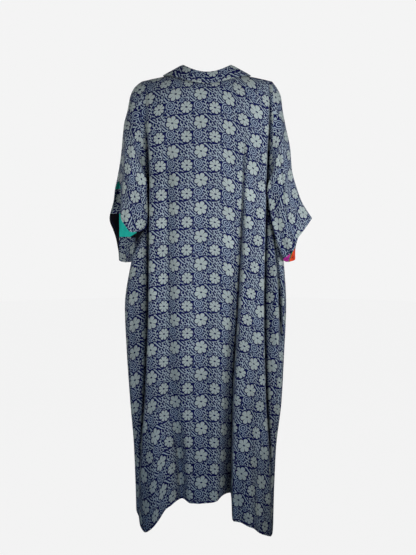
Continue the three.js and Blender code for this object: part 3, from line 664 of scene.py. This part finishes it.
def flower(tree, space, centre, radius, petals, turn, notch):
    """Its pale petals as tone and, a little wider, the mask of the dark line round it."""
    local = around(tree, space, centre, turn=turn)
    far = add(tree, "VectorMath", [local], out="Value", operation="LENGTH")
    angle = add(tree, "TexGradient", [local], out="Fac", gradient_type="RADIAL")
    turned = add(tree, "Math", [angle, petals], operation="MULTIPLY")
    petal = add(tree, "Math", [turned, 0.5], operation="PINGPONG")
    edge = add(tree, "MapRange", {
        "Value": petal, "From Min": 0, "From Max": PETAL_ROUNDNESS,
        "To Min": radius * notch, "To Max": radius}, interpolation_type="SMOOTHERSTEP")
    body = add(tree, "Math", [far, edge], operation="LESS_THAN")
    wide = add(tree, "Math", [far, HALO], operation="SUBTRACT")
    halo = add(tree, "Math", [wide, edge], operation="LESS_THAN")
    out_share = add(tree, "Math", [far, radius], operation="DIVIDE")
    opening = add(tree, "Math", [out_share, GAP_BEND], operation="POWER")
    gap = add(tree, "Math", [opening, GAP_WIDTH * petals], operation="MULTIPLY")
    tone = add(tree, "Math", [petal, gap], operation="GREATER_THAN")
    vein = add(tree, "MapRange", {
        "Value": petal, "From Min": 0.3, "From Max": 0.5, "To Min": 0.97, "To Max": 0.88})
    oval = add(tree, "Mapping", {"Vector": local, "Scale": HEART_STRETCH})
    from_heart = add(tree, "VectorMath", [oval], out="Value", operation="LENGTH")
    heart = add(tree, "Math", [from_heart, HEART_RADIUS], operation="GREATER_THAN")
    for part in (body, vein, heart):
        tone = add(tree, "Math", [tone, part], operation="MULTIPLY")
    return tone, halo


def ring_tone(tree, far, spacing):
    """Rings one inside the other, as tone."""
    turns = add(tree, "Math", [far, 2 * math.pi / spacing], operation="MULTIPLY")
    wave = add(tree, "Math", [turns], operation="COSINE")
    return add(tree, "MapRange", {"Value": wave, "From Min": -0.05, "From Max": 0.35,
                                  "To Min": 0.0, "To Max": RING_TONE})


print("motifs ready")

# %% Hooks and dashes between the flowers
HOOKS_PER_REPEAT, HOOK_DISTANCE, HOOK_WIDTH, HOOK_OPENING = 8.4, 0.42, 0.14, 0.78
DASHES_PER_REPEAT = 5.2


def hook_tone(tree, wrapped):
    """Little rings round scattered seeds, each open at one side."""
    hooks, seeds = (add(tree, "TexVoronoi", {
        "Vector": wrapped, "Scale": HOOKS_PER_REPEAT, "Randomness": 0.8}, out=name,
        voronoi_dimensions="2D") for name in ("Distance", "Position"))
    hook_ring = add(tree, "Math", [hooks, HOOK_DISTANCE, HOOK_WIDTH], operation="COMPARE")
    offset = add(tree, "VectorMath", [wrapped, seeds], operation="SUBTRACT")
    angle = add(tree, "TexGradient", [offset], out="Fac", gradient_type="RADIAL")
    opened = add(tree, "Math", [angle, HOOK_OPENING], operation="LESS_THAN")
    fill = add(tree, "Math", [hook_ring, opened], operation="MULTIPLY")
    return add(tree, "Math", [fill, HOOK_TONE], operation="MULTIPLY")


def dash_tone(tree, wrapped):
    slant = add(tree, "TexWave", {"Vector": wrapped, "Scale": DASHES_PER_REPEAT,
                                  "Distortion": 0.6, "Detail": 0}, out="Fac",
                bands_direction="DIAGONAL")
    return add(tree, "MapRange", {"Value": slant, "From Min": 0.52, "From Max": 0.64,
                                  "To Min": 0.0, "To Max": DASH_TONE})


print("hooks and dashes ready")

# %% Laying one motif over another
LINE_HEIGHT, LINE_WAVE, LINE_HALF_WIDTH = 0.275, 0.016, 0.026
LEAF_RADIUS, LEAF_STRETCH, LEAF_TURN = 1.7, (0.5, 1.1), 0.4


def print_tone(tree, space):
    """The whole print as one tone, from 0 for navy to 1 for the pale ground."""
    wrapped = add(tree, "VectorMath", [space, (1, 1, 1), (0, 0, 0)], operation="WRAP")
    tone, dashes = hook_tone(tree, wrapped), dash_tone(tree, wrapped)
    layers = [(dashes, patch(tree, space, *row)[0]) for row in DASH_PATCHES]
    for centre, radius, spacing, stretch in RINGS:
        disc, far = patch(tree, space, centre, radius, stretch)
        layers.append((ring_tone(tree, far, spacing), disc))

    across, down = (add(tree, "SeparateXYZ", [wrapped], out=axis) for axis in "XY")
    turns = add(tree, "Math", [across, 4 * math.pi], operation="MULTIPLY")
    ripple = add(tree, "Math", [turns], operation="SINE")
    line = add(tree, "Math", [ripple, LINE_WAVE, LINE_HEIGHT], operation="MULTIPLY_ADD")
    layers.append((0.0, add(tree, "Math", [down, line, LINE_HALF_WIDTH], operation="COMPARE")))
    for centre in LEAVES:
        leaf, _ = patch(tree, space, centre, LEAF_RADIUS, LEAF_STRETCH, LEAF_TURN)
        layers.append((LEAF_TONE, leaf))
    layers += [flower(tree, space, *row) for row in FLOWERS]
    for above, mask in layers:
        tone = add(tree, "Mix", {0: mask, 2: tone, 3: above}, data_type="FLOAT")
    return tone


print("print pattern ready")

# %% [markdown]
# The finish on top of the pattern: washed cotton is never one even colour, its threads are a
# little uneven (slubs), and its seams carry a row of stitches. Real threads are half a millimetre
# apart, too fine to show here, so the slubs are drawn about 3 mm apart.

# %% Cotton with a print
STITCH_FROM_EDGE, STITCH_LENGTH, STITCH_WIDTH, STITCH_SHARE = 6, 5, 0.9, 0.62
STITCH_THREAD = linear("#1B2046")
WASHED_FROM, WASHED_TO, THREAD_FROM, THREAD_TO = 0.90, 1.08, 0.93, 1.07     # shares of the colour
SLUBS = (340, 40, 1), (40, 340, 1)      # to a metre, for the threads across and along
CRUMPLES, CRUMPLE_HEIGHT, STITCH_HEIGHT = 38, 2.4, -1.5                     # heights in slubs
ROUGHNESS, SHEEN, SPECULAR = 0.82, 0.03, 0.12


def cotton_surface(tree, colour):
    """Washed unevenness, slubs, crumples and stitches, on any colour of cotton."""
    places = add(tree, "UVMap", uv_map="cloth")
    washed = add(tree, "TexNoise", {"Vector": places, "Scale": 9, "Detail": 3}, out="Fac")
    worn = add(tree, "MapRange", {"Value": washed, "From Min": 0.3, "From Max": 0.7,
                                  "To Min": WASHED_FROM, "To Max": WASHED_TO})
    slub_heights = []
    for size in SLUBS:
        stretched = add(tree, "Mapping", {"Vector": places, "Scale": size})
        slub_heights.append(add(tree, "TexNoise", {"Vector": stretched, "Scale": 1, "Detail": 1},
                                out="Fac"))
    slubs = add(tree, "Math", slub_heights, operation="ADD")
    thread = add(tree, "MapRange", {"Value": slubs, "From Min": 0.7, "From Max": 1.3,
                                    "To Min": THREAD_FROM, "To Max": THREAD_TO})
    shade = add(tree, "Math", [worn, thread], operation="MULTIPLY")
    colour = add(tree, "VectorMath", {0: colour, "Scale": shade}, operation="SCALE")

    edge = add(tree, "UVMap", uv_map="edge")
    along, above = (add(tree, "SeparateXYZ", [edge], out=axis) for axis in "XY")
    on_row = add(tree, "Math", [above, STITCH_FROM_EDGE * MM, STITCH_WIDTH * MM],
                 operation="COMPARE")
    count = add(tree, "Math", [along, STITCH_LENGTH * MM], operation="DIVIDE")
    part = add(tree, "Math", [count], operation="FRACT")
    thread_on = add(tree, "Math", [part, STITCH_SHARE], operation="LESS_THAN")
    stitch = add(tree, "Math", [on_row, thread_on], operation="MULTIPLY")
    colour = add(tree, "Mix", {0: stitch, 6: colour, 7: STITCH_THREAD}, out=2, data_type="RGBA")

    crumple = add(tree, "TexNoise", {"Vector": places, "Scale": CRUMPLES, "Detail": 2}, out="Fac")
    raised = add(tree, "Math", [crumple, CRUMPLE_HEIGHT, slubs], operation="MULTIPLY_ADD")
    raised = add(tree, "Math", [stitch, STITCH_HEIGHT, raised], operation="MULTIPLY_ADD")
    bump = add(tree, "Bump", {"Height": raised, "Strength": 0.35, "Distance": 0.0012})
    surface = add(tree, "BsdfPrincipled", {
        "Base Color": colour, "Roughness": ROUGHNESS, "IOR": 1.45, "Sheen Weight": SHEEN,
        "Sheen Roughness": 0.45, "Specular IOR Level": SPECULAR, "Normal": bump})
    add(tree, "OutputMaterial", [surface])


def print_colour(tree, shift_x, shift_y):
    colour = add(tree, "ValToRGB", [print_tone(tree, repeat_space(tree, shift_x, shift_y))])
    stops = colour.node.color_ramp.elements
    stops[0].color, stops[1].color = NAVY, SILVER
    stops.new(0.5).color = SLATE
    return colour


def printed_cotton(name, shift_x, shift_y):
    material, tree = new_material(name)
    cotton_surface(tree, print_colour(tree, shift_x, shift_y))
    return material


FIRST_FLOWER = 16 / REPEAT, 134 / REPEAT     # left of the middle, and down the back
SLEEVE_SHIFT = 0.3, 0.1
print_on_body = printed_cotton("printed_cotton_body", *FIRST_FLOWER)
print_on_sleeves = printed_cotton("printed_cotton_sleeves", *SLEEVE_SHIFT)
print("printed cotton:", len(print_on_body.node_tree.nodes), "nodes")

# %% [markdown]
# ## The inner cloth
#
# The robe is double: its inner layer is pieced from plain cottons. It shows at the cuffs, turquoise
# and black on the left, green, orange-red and magenta on the right, and a little at the neck and
# the hem, where plain turquoise is taken for the rest. Part of the black at the left cuff is
# painted shadow, where the cuff is in shade beside the body.

# %% Plain and pieced cottons
def pieced_cotton(name, base, patches=()):
    """One colour, with patches by half-planes of the piece itself: (point, direction that it
    starts in, colour). A patch with no colour is a piece of the printed cotton, and a dark
    patch can be painted shadow."""
    material, tree = new_material(name)
    colour = add(tree, "RGB")
    colour.default_value = linear(base)
    if patches:
        here, printed = add(tree, "TexCoord", out="Object"), print_colour(tree, *SLEEVE_SHIFT)
    for point, direction, patch_colour in patches:
        away = add(tree, "VectorMath", [here, point], operation="SUBTRACT")
        far = add(tree, "VectorMath", [away, direction], out="Value", operation="DOT_PRODUCT")
        inside = add(tree, "Math", [far, 0.0], operation="GREATER_THAN")
        tint = linear(patch_colour) if patch_colour else printed
        colour = add(tree, "Mix", {0: inside, 6: colour, 7: tint}, out=2, data_type="RGBA")
    cotton_surface(tree, colour)
    return material


TURQUOISE, BLACK, ORANGE, MAGENTA, GREEN = "#2ACCBE", "#0B0B12", "#DE4A26", "#B22A93", "#2C8B4A"
inner_body = pieced_cotton("plain_cotton_turquoise", TURQUOISE)
print("inner cottons:", TURQUOISE, BLACK, ORANGE, MAGENTA, GREEN)

# %% [markdown]
# ## Back and fronts
#
# The back is one panel with a rounded neckline. Each front is a panel of its own that ends at the
# band. They meet at the shoulders and at the side seams, and their lower edges are hemmed.

# %% Wearing in: creases and unevenness on a panel
# How quickly the marks of wear set in: from a seam, from the edge of the band, and with depth.
FIRM_AT_SEAM, FIRM_AT_EDGE, SETTLED_DEPTH = 9, 12, 24


def worn_panel(points, shares, at_back, ends_inside):
    """Moves the cloth a little in depth, but not at its seams."""
    facing = -1 if at_back else 1
    depth = facing * points[..., 1]
    settle = smooth((1 - np.abs(shares)) * FIRM_AT_SEAM) * smooth(depth / SETTLED_DEPTH)
    if ends_inside:
        settle = settle * smooth(np.abs(shares) * FIRM_AT_EDGE)
    crease = crease_depth(at_back, points[..., 0], points[..., 2])
    shift = (unevenness(points) - crease) * settle
    moved = points.copy()
    moved[..., 1] += facing * shift
    return moved


def hem_distance(cloth):
    """For the stitches: how far along the hem, and how far above it."""
    return np.stack([cloth[..., 0], LEVEL_HEM + cloth[..., 1]], -1)


print("hem stitches", STITCH_FROM_EDGE, "mm above the edge")

# %% Back
BACK_COLUMNS = 84
GRAIN_PLACES = [-176, -150, -100, 0, 40, 62, 100, 140, 176]
GRAIN_DOWN = [10, 8, 3, 0, 6, 17, 34, 52, 60]


def off_grain(points, cloth):
    """The back is cut a little off the grain: its print runs down towards the right."""
    drooped = -points[..., 2] + cloth[..., 1]
    short = np.maximum(track(GRAIN_PLACES, GRAIN_DOWN, points[..., 0]) - drooped, 0)
    return np.stack([cloth[..., 0], cloth[..., 1] + short], -1)


half = np.linspace(0, 1, BACK_COLUMNS + 1)
left_points, left_cloth = half_panel(-1, half, lambda level: 0, True)
right_points, right_cloth = half_panel(1, half, lambda level: 0, True)
back_points = np.concatenate([left_points[:, :0:-1], right_points], 1)
back_cloth = np.concatenate([left_cloth[:, :0:-1], right_cloth], 1)
back_edges = hem_distance(back_cloth)
back_cloth = off_grain(back_points, back_cloth)
across = np.concatenate([-half[:0:-1], half])
back_points = worn_panel(back_points, across, True, False)
back = cloth_piece("back_cloth", back_points, back_cloth, back_edges,
                   (0, 40, -500), [print_on_body, inner_body])
print_flat("back", back_points)

# %% Fronts
FRONT_COLUMNS = 72
BAND_OPENING_LEVELS, BAND_OPENING = [0, 300, 700, 1270], [8, 9, 14, 26]
BAND_END_LEVEL = mix(LEVEL_UNDERARM, LEVEL_HEM, 1 / 15)     # below it the band's seam is straight


def band_seam(level):
    opening = track(BAND_OPENING_LEVELS, BAND_OPENING, level)
    return mix(NECK_HALF, BAND + opening, smooth(level / BAND_END_LEVEL))


def front_edge(level):
    return NECK_HALF if level <= 0 else float(band_seam(level)) + SEAM


fronts = {}
for side, word in SIDES:
    shares = np.linspace(0, 1, FRONT_COLUMNS + 1)
    points, cloth = half_panel(side, shares, front_edge, False)
    points = worn_panel(points, shares, False, True)
    fronts[word] = cloth_piece("front_cloth_" + word, points, cloth, hem_distance(cloth),
                               (side * 60, -40, -500), [print_on_body, inner_body])
    print_flat("front " + word, points)

# %% [markdown]
# ## Sleeves
#
# Each sleeve is a short wide tube, sewn to the armhole and hanging down the side. A plain tube
# comes first, and towards the cuff it takes the form of the cuff's edge, which a table gives: the
# left cuff is twisted open outwards, the right one hangs in a point. The grid closes at the seam
# under the arm, as the real sleeve does.

# %% Sleeve shapes
# The edge of each cuff, by half turns: from the top fold (0) down the back to the fold under the
# arm (1) and up the front (2). Each row: half turns, how far out, how far down.
SLEEVES = {
    -1: {"top": [(176, 18), (196, 34), (208, 58), (215, 92), (227, 140), (230, 200), (235, 245)],
         "cuff": [(0, 241, 281), (0.14, 234, 312), (0.30, 233, 384), (0.42, 221, 407),
                  (0.53, 204, 425), (0.62, 182, 423), (0.71, 164, 412), (0.85, 197, 464),
                  (1, 210, 510), (1.14, 232, 515), (1.28, 250, 511), (1.38, 253, 482),
                  (1.48, 259, 452), (1.58, 267, 424), (1.68, 277, 393), (1.80, 264, 346),
                  (1.90, 256, 302), (2, 241, 281)],
         "depth": 60, "lap": 18},
    1: {"top": [(176, 18), (190, 36), (201, 60), (205, 90), (215, 140), (228, 200), (233, 256),
                (245, 300), (262, 345)],
        "cuff": [(0, 290, 388), (0.18, 265, 419), (0.34, 246, 444), (0.50, 238, 470),
                 (0.66, 220, 489), (0.80, 208, 499), (1, 222, 510), (1.16, 233, 514),
                 (1.30, 243, 513), (1.42, 252, 508), (1.52, 253, 480), (1.64, 257, 450),
                 (1.82, 272, 415), (2, 290, 388)],
        "depth": 62, "lap": 24},
}
UNDERARM_BEND, CUFF_BEND, CUFF_SQUARE = 1.4, 1.5, 0.55
LAP_TURNS, LAP_SHARES, LAP_SPREAD = (0.72, 1.26), (1, 0.5), 0.11
LAP_START, LAP_FULL = 0.07, 0.32
# Creases along a sleeve: share from its top fold to the underarm, width as a share, depth in mm.
SLEEVE_CREASES = {
    -1: {True: [(0.30, 0.05, 3.5), (0.55, 0.06, 4.5), (0.78, 0.05, 3.0)],
         False: [(0.35, 0.07, 4.0), (0.66, 0.06, 4.5)]},
    1: {True: [(0.26, 0.05, 3.0), (0.47, 0.05, 4.0), (0.72, 0.06, 4.5)],
        False: [(0.35, 0.07, 4.0), (0.66, 0.06, 4.5)]},
}
print("cuff edges start at", SLEEVES[-1]["cuff"][0][1:], "and", SLEEVES[1]["cuff"][0][1:])


# %% A point of a sleeve
def bump(turn, centre):
    away = (turn - centre) / 2
    return np.exp(-(((away - np.round(away)) * 2 / LAP_SPREAD) ** 2))


def sleeve_points(side, t, turn):
    """t runs from the armhole to the cuff, turn (half turns) from the top fold down the back."""
    shape = SLEEVES[side]
    t, turn = t[:, None], np.mod(turn, 2)[None, :]
    places, outs, downs = np.array(shape["cuff"], float).T
    low = np.searchsorted(places, 1)
    edge_out, edge_down = track(places, outs, turn), track(places, downs, turn)
    top = np.array(shape["top"] + [shape["cuff"][0][1:]], float)
    run = run_along(top)
    top_out, top_down = (track(run, top[:, k], t * run[-1]) for k in (0, 1))
    lowest = UNDERARM[side]
    under_out = mix(SHOULDER_END, outs[low], t**UNDERARM_BEND)
    under_down = mix(-lowest, downs[low], t)

    angle = turn * math.pi
    egg = np.where(np.cos(angle) >= 0, CAP, ARMHOLE_MIDDLE - lowest)
    egg_down = -ARMHOLE_MIDDLE - egg * np.cos(angle)
    egg_share = (egg_down - SHOULDER_DROP) / (-lowest - SHOULDER_DROP)
    round_share = (1 - np.cos(angle)) / 2
    share = mix(egg_share, round_share, smooth(t))
    laps = sum(amount * bump(turn, at) for at, amount in zip(LAP_TURNS, LAP_SHARES))
    started = smooth((t - LAP_START) / (LAP_FULL - LAP_START))
    lap = shape["lap"] * started * (1 - t**3) * laps
    out = (mix(top_out, under_out, share) - lap
           + t**CUFF_BEND * (edge_out - mix(outs[0], outs[low], round_share)))
    down = (mix(top_down, under_down, share)
            + t**CUFF_BEND * (edge_down - mix(downs[0], downs[low], round_share)))
    depth = mix(ARMHOLE_DEPTH, shape["depth"], smooth(t))
    rounding = np.sign(np.sin(angle)) * np.abs(np.sin(angle)) ** mix(1, CUFF_SQUARE, t)
    ease = 0 * share
    for at_back in (True, False):
        facing = np.clip(np.sin(angle) if at_back else -np.sin(angle), 0, 1)
        for place, width, amount in SLEEVE_CREASES[side][at_back]:
            ease = ease + facing * amount * np.exp(-(((share - place) / width) ** 2))
    y = -depth * rounding + np.sign(np.sin(angle)) * ease * smooth(t * 3)
    return np.stack([side * (out + SEAM * (1 - t)), y, -down], -1)


print("cuff corner:", np.round(sleeve_points(-1, np.array([1.0]), np.array([0.0]))[0, 0]))

# %% [markdown]
# The print must not shear where the sleeve twists, so the sleeve is laid flat first. It is opened
# along its seam, and a net of threads over it is eased, step by step, until each thread and each
# diagonal has its true length on the flat.

# %% Laying a sleeve flat
AROUND_SLEEVE, ALONG_SLEEVE = 132, 96
NET_STEP, EASING_ROUNDS = 4, 3500
PRINT_TURN = math.radians(45)


def lay_flat(points, guess):
    """Moves the places of a net until its steps have their lengths on the surface."""
    flat = guess.copy()
    links = []
    for down, across in ((0, 1), (1, 0), (1, 1), (1, -1)):
        first = np.s_[:len(flat) - down, max(0, -across):flat.shape[1] - max(0, across)]
        second = np.s_[down:, max(0, across):flat.shape[1] - max(0, -across)]
        links.append((first, second, np.linalg.norm(points[second] - points[first], axis=2)))
    for _ in range(EASING_ROUNDS):
        move, count = np.zeros(flat.shape), np.zeros(flat.shape[:2])
        for first, second, length in links:
            gap = flat[second] - flat[first]
            push = gap * (0.5 - 0.5 * length / np.linalg.norm(gap, axis=2))[..., None]
            move[first] += push
            move[second] -= push
            count[first] += 1
            count[second] += 1
        flat += move / count[..., None]
    return flat


def sleeve_cloth_places(points, middle):
    """Flat places, turned with the cut, and for the stitches the places along the cuff."""
    across, down = run_along(points, 1), run_along(points)
    across = across - across[:, middle:middle + 1]
    guess = np.stack([across, -down.mean(1, keepdims=True) + 0 * across], -1)
    rows, columns = (np.arange(0, n, NET_STEP) for n in points.shape[:2])
    net = np.s_[::NET_STEP, ::NET_STEP]
    eased = lay_flat(points[net], guess[net]) - guess[net]
    flat = guess.copy()
    for k in (0, 1):
        wide = [np.interp(np.arange(points.shape[1]), columns, row) for row in eased[..., k]]
        flat[..., k] += np.array([np.interp(np.arange(len(points)), rows, line)
                                  for line in np.transpose(wide)]).T
    turn = np.array([[math.cos(PRINT_TURN), -math.sin(PRINT_TURN)],
                     [math.sin(PRINT_TURN), math.cos(PRINT_TURN)]])
    return flat @ turn.T, np.stack([across, down[-1:] - down], -1)


print("net on a sleeve:", ALONG_SLEEVE // NET_STEP, "by", AROUND_SLEEVE // NET_STEP)

# %% Sleeve cloth
# On the left cuff, the slanted black patch and the black right of x = -0.196 m are painted shadow:
# the shade between the cuff and the body, drawn as black on the inside cloth. The black left of x =
# -0.250 m is the cuff's own black cloth.
inner_left_with_painted_shadow = pieced_cotton("pieced_cotton_and_painted_shadow_left", TURQUOISE, [
    ((-0.219, 0, -0.4436), (0.51, 0, -0.86), BLACK), ((0, 0, -0.4436), (0, 0, -1), None),
    ((-0.196, 0, 0), (1, 0, 0), BLACK), ((-0.250, 0, 0), (-1, 0, 0), BLACK),
    ((0, 0, -0.378), (0, 0, 1), None), ((0, 0, -0.308), (0, 0, 1), TURQUOISE)])
inner_right = pieced_cotton("pieced_cotton_right", ORANGE, [
    ((0.2485, 0, -0.4776), (-0.932, 0, 0.358), GREEN),
    ((0.2455, 0, -0.4764), (-0.932, 0, 0.358), MAGENTA)])
inner_cloth = {-1: inner_left_with_painted_shadow, 1: inner_right}
sleeves = {}
for side, word in SIDES:
    points = sleeve_points(side, np.linspace(0, 1, ALONG_SLEEVE + 1),
                           np.linspace(-1, 1, AROUND_SLEEVE + 1))
    cloth, edges = sleeve_cloth_places(points, AROUND_SLEEVE // 2)
    sleeves[word] = cloth_piece("sleeve_cloth_" + word, points, cloth, edges,
                                points.mean((0, 1)), [print_on_sleeves, inner_cloth[side]],
                                tube=True)
    print_flat("sleeve " + word, points)

# %% Facings inside the cuffs
FACING_FROM, FACING_TO = -15 / 16, 2 / 16
FACING_START, FACING_END = 8 / 12, 0.985
FACING_ROWS, FACING_COLUMNS, FACING_GRAIN = 36, 84, 74


def grid_normals(points):
    """Unit normals of a grid of points, pointing to one side all over."""
    normal = np.cross(np.gradient(points, axis=0), np.gradient(points, axis=1))
    return normal / np.linalg.norm(normal, axis=2, keepdims=True)


facings = {}
for side, word in SIDES:
    points = sleeve_points(side, np.linspace(FACING_START, FACING_END, FACING_ROWS + 1),
                           np.linspace(FACING_FROM, FACING_TO, FACING_COLUMNS + 1))
    centre = sleeve_points(side, np.linspace(FACING_START, 1, 9),
                           np.linspace(-1, 1, 40)).mean((0, 1))
    normal = grid_normals(points)
    inwards = -np.sign(((points - centre) * normal).sum())
    points = points + inwards * normal * ((WALL + LINING_WALL) / 2 + SEAM)
    cloth, edges = sleeve_cloth_places(points, FACING_GRAIN)
    facings[word] = cloth_piece("sleeve_facing_" + word, points, cloth, edges, centre,
                                [inner_cloth[side]], thickness=LINING_WALL)
    print_flat("facing " + word, points)

# %% [markdown]
# ## The band
#
# One straight strip is sewn round the neck and down both fronts. Round the neck it folds over:
# a stand rises from the seam, and a fall lies back down over it, with a soft turn between. Low on
# the fronts the fold runs out and the band lies flat. The collar is its section, carried along.

# %% Sections of the folded band
COLLAR_STATIONS = [0.00, 0.25, 0.38, 0.50, 0.62, 0.80, 1.00]
STAND = [(0, -4, 27), (1, -3, 27), (-1, -2, 26), (-4, 0, 22), (-16, 10, 22), (-37, 5, 6),
         (-50, 3, 0)]
FALL = [(0, -14, -31), (14, -16, -32), (38, -14, -29), (55, -4, -24), (38, 8, -14), (20, 2, -4),
        (7, 0, 0)]
NECK_STATION, BAND_STEPS_BEND, INSIDE_NECK = 0.5, 1.6, WALL + 0.7
FALL_CURL = 1.6         # how far the middle of the fall stands off its chord


def band_place(down, x):
    share = min(max(down / CAP, 0), 1)
    rounding = math.sqrt(1 - (1 - share) ** 2)
    return np.array([x, float(depth_at(1, x, -max(down, CAP), False)) * rounding, -down])


def band_seam_place(station):
    if station <= NECK_STATION:
        turn = station / NECK_STATION * math.pi / 2
        z = float(cap_point(1, np.array(NECK_HALF * math.sin(turn)), 0.0, True)[1])
        return np.array([(NECK_HALF - INSIDE_NECK) * math.sin(turn),
                         -(NECK_BACK - INSIDE_NECK) * math.cos(turn), z])
    share = (station - NECK_STATION) / (1 - NECK_STATION)
    down = BAND_END_LEVEL * share**BAND_STEPS_BEND
    inside = INSIDE_NECK * (1 - float(smooth(share * BAND_STEPS_BEND)))
    return band_place(down, float(band_seam(down)) - inside)


def collar_section(station):
    seam = band_seam_place(station)
    stand, fall = (np.array([float(track(COLLAR_STATIONS, [row[k] for row in table], station))
                             for k in range(3)]) for table in (STAND, FALL))
    fold = seam + stand
    up = stand / np.linalg.norm(stand)
    away = fall - up * (fall @ up)
    away = away / np.linalg.norm(away)
    turn = [fold + away * FOLD_ROUND * (1 + math.cos(a)) + up * FOLD_ROUND * (math.sin(a) - 1)
            for a in np.linspace(math.pi, 0, 9)]
    rise = [mix(seam, turn[0], s) for s in np.linspace(0, 0.9, 9)]
    drop = [fold + away * (2 * FOLD_ROUND * (1 - s) + FALL_CURL * math.sin(math.pi * s)) + fall * s
            for s in np.linspace(0.08, 1, 12)]
    return rise + turn + drop


print("points in the collar's section:", len(collar_section(0.0)))

# %% Collar
COLLAR_HALF = 110
collar_points = []
for k in range(-COLLAR_HALF, COLLAR_HALF + 1):
    line = np.array(collar_section(abs(k) / COLLAR_HALF))
    line[:, 0] *= -1 if k < 0 else 1
    collar_points.append(line)
collar_points = np.array(collar_points).transpose(1, 0, 2)[::-1]
run = run_along(collar_points, 1).mean(0)
run = run - run[COLLAR_HALF]
from_free_edge = run_along(collar_points[:, COLLAR_HALF])
strip = np.stack(np.broadcast_arrays(run[None, :], from_free_edge[:, None]), -1)
collar = cloth_piece("collar_cloth", collar_points, strip, strip, (0, 30, -120),
                     [print_on_sleeves])
print_flat("collar", collar_points)

# %% Front bands
BAND_COLUMNS, BAND_ROWS, BAND_FIRM_AT_SEAM = 16, 200, 5
bands = {}
for side, word in SIDES:
    downs = np.linspace(BAND_END_LEVEL + SEAM, LEVEL_HEM, BAND_ROWS + 1)
    shares = np.linspace(0, 1, BAND_COLUMNS + 1)
    x = band_seam(downs)[:, None] - BAND * shares[None, :]
    z = -downs[:, None] + 0 * x
    y = depth_at(side, side * x, z, False)
    points = np.stack([side * x, y, z], -1)
    points[..., 1] += unevenness(points) * smooth(shares * BAND_FIRM_AT_SEAM)[None, :]
    nearer = np.minimum(shares, 1 - shares)[None, :] * BAND + 0 * z
    bands[word] = cloth_piece("front_band_cloth_" + word, points,
                              np.stack([side * (BAND * shares[None, :] + 0 * z), z], -1),
                              np.stack([-z, nearer], -1), (0, 0, -700),
                              [print_on_sleeves, inner_body])
    print_flat("band " + word, points)

# %% [markdown]
# ## Every piece in its place
#
# The last step ties each piece to the frame and hides the plain solid that it stands for. The
# table beside it also lists each piece's finish and the size that its cloth was cut to.

# %% Tie the pieces to the frame
PIECES = [
    (back, "back", "printed_cloth", (0.84, 1.34), 0.80, "hung"),
    (fronts["left"], "front_left", "printed_cloth", (0.30, 1.34), 0.30, "hung"),
    (fronts["right"], "front_right", "printed_cloth", (0.30, 1.34), 0.30, "hung"),
    (sleeves["left"], "sleeve_left", "printed_cloth", (0.50, 0.30), 0.11, "hung"),
    (sleeves["right"], "sleeve_right", "printed_cloth", (0.50, 0.30), 0.12, "hung"),
    (facings["left"], "sleeve_lining_left", "turquoise_lining", (0.22, 0.13), 0.022, "hung"),
    (facings["right"], "sleeve_lining_right", "patchwork_lining", (0.22, 0.13), 0.022, "hung"),
    (collar, "neck_collar", "printed_cloth", (1.00, 0.062), None, "folded"),
    (bands["left"], "front_band_left", "printed_cloth", (0.058, 0.86), None, "hung"),
    (bands["right"], "front_band_right", "printed_cloth", (0.058, 0.86), None, "hung"),
]
for piece, node, slot, flat, area, held in PIECES:
    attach(piece, "root")
    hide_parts(node)
print(len(PIECES), "pieces tied to the frame")

# %% Update the scene
bpy.context.view_layer.update()
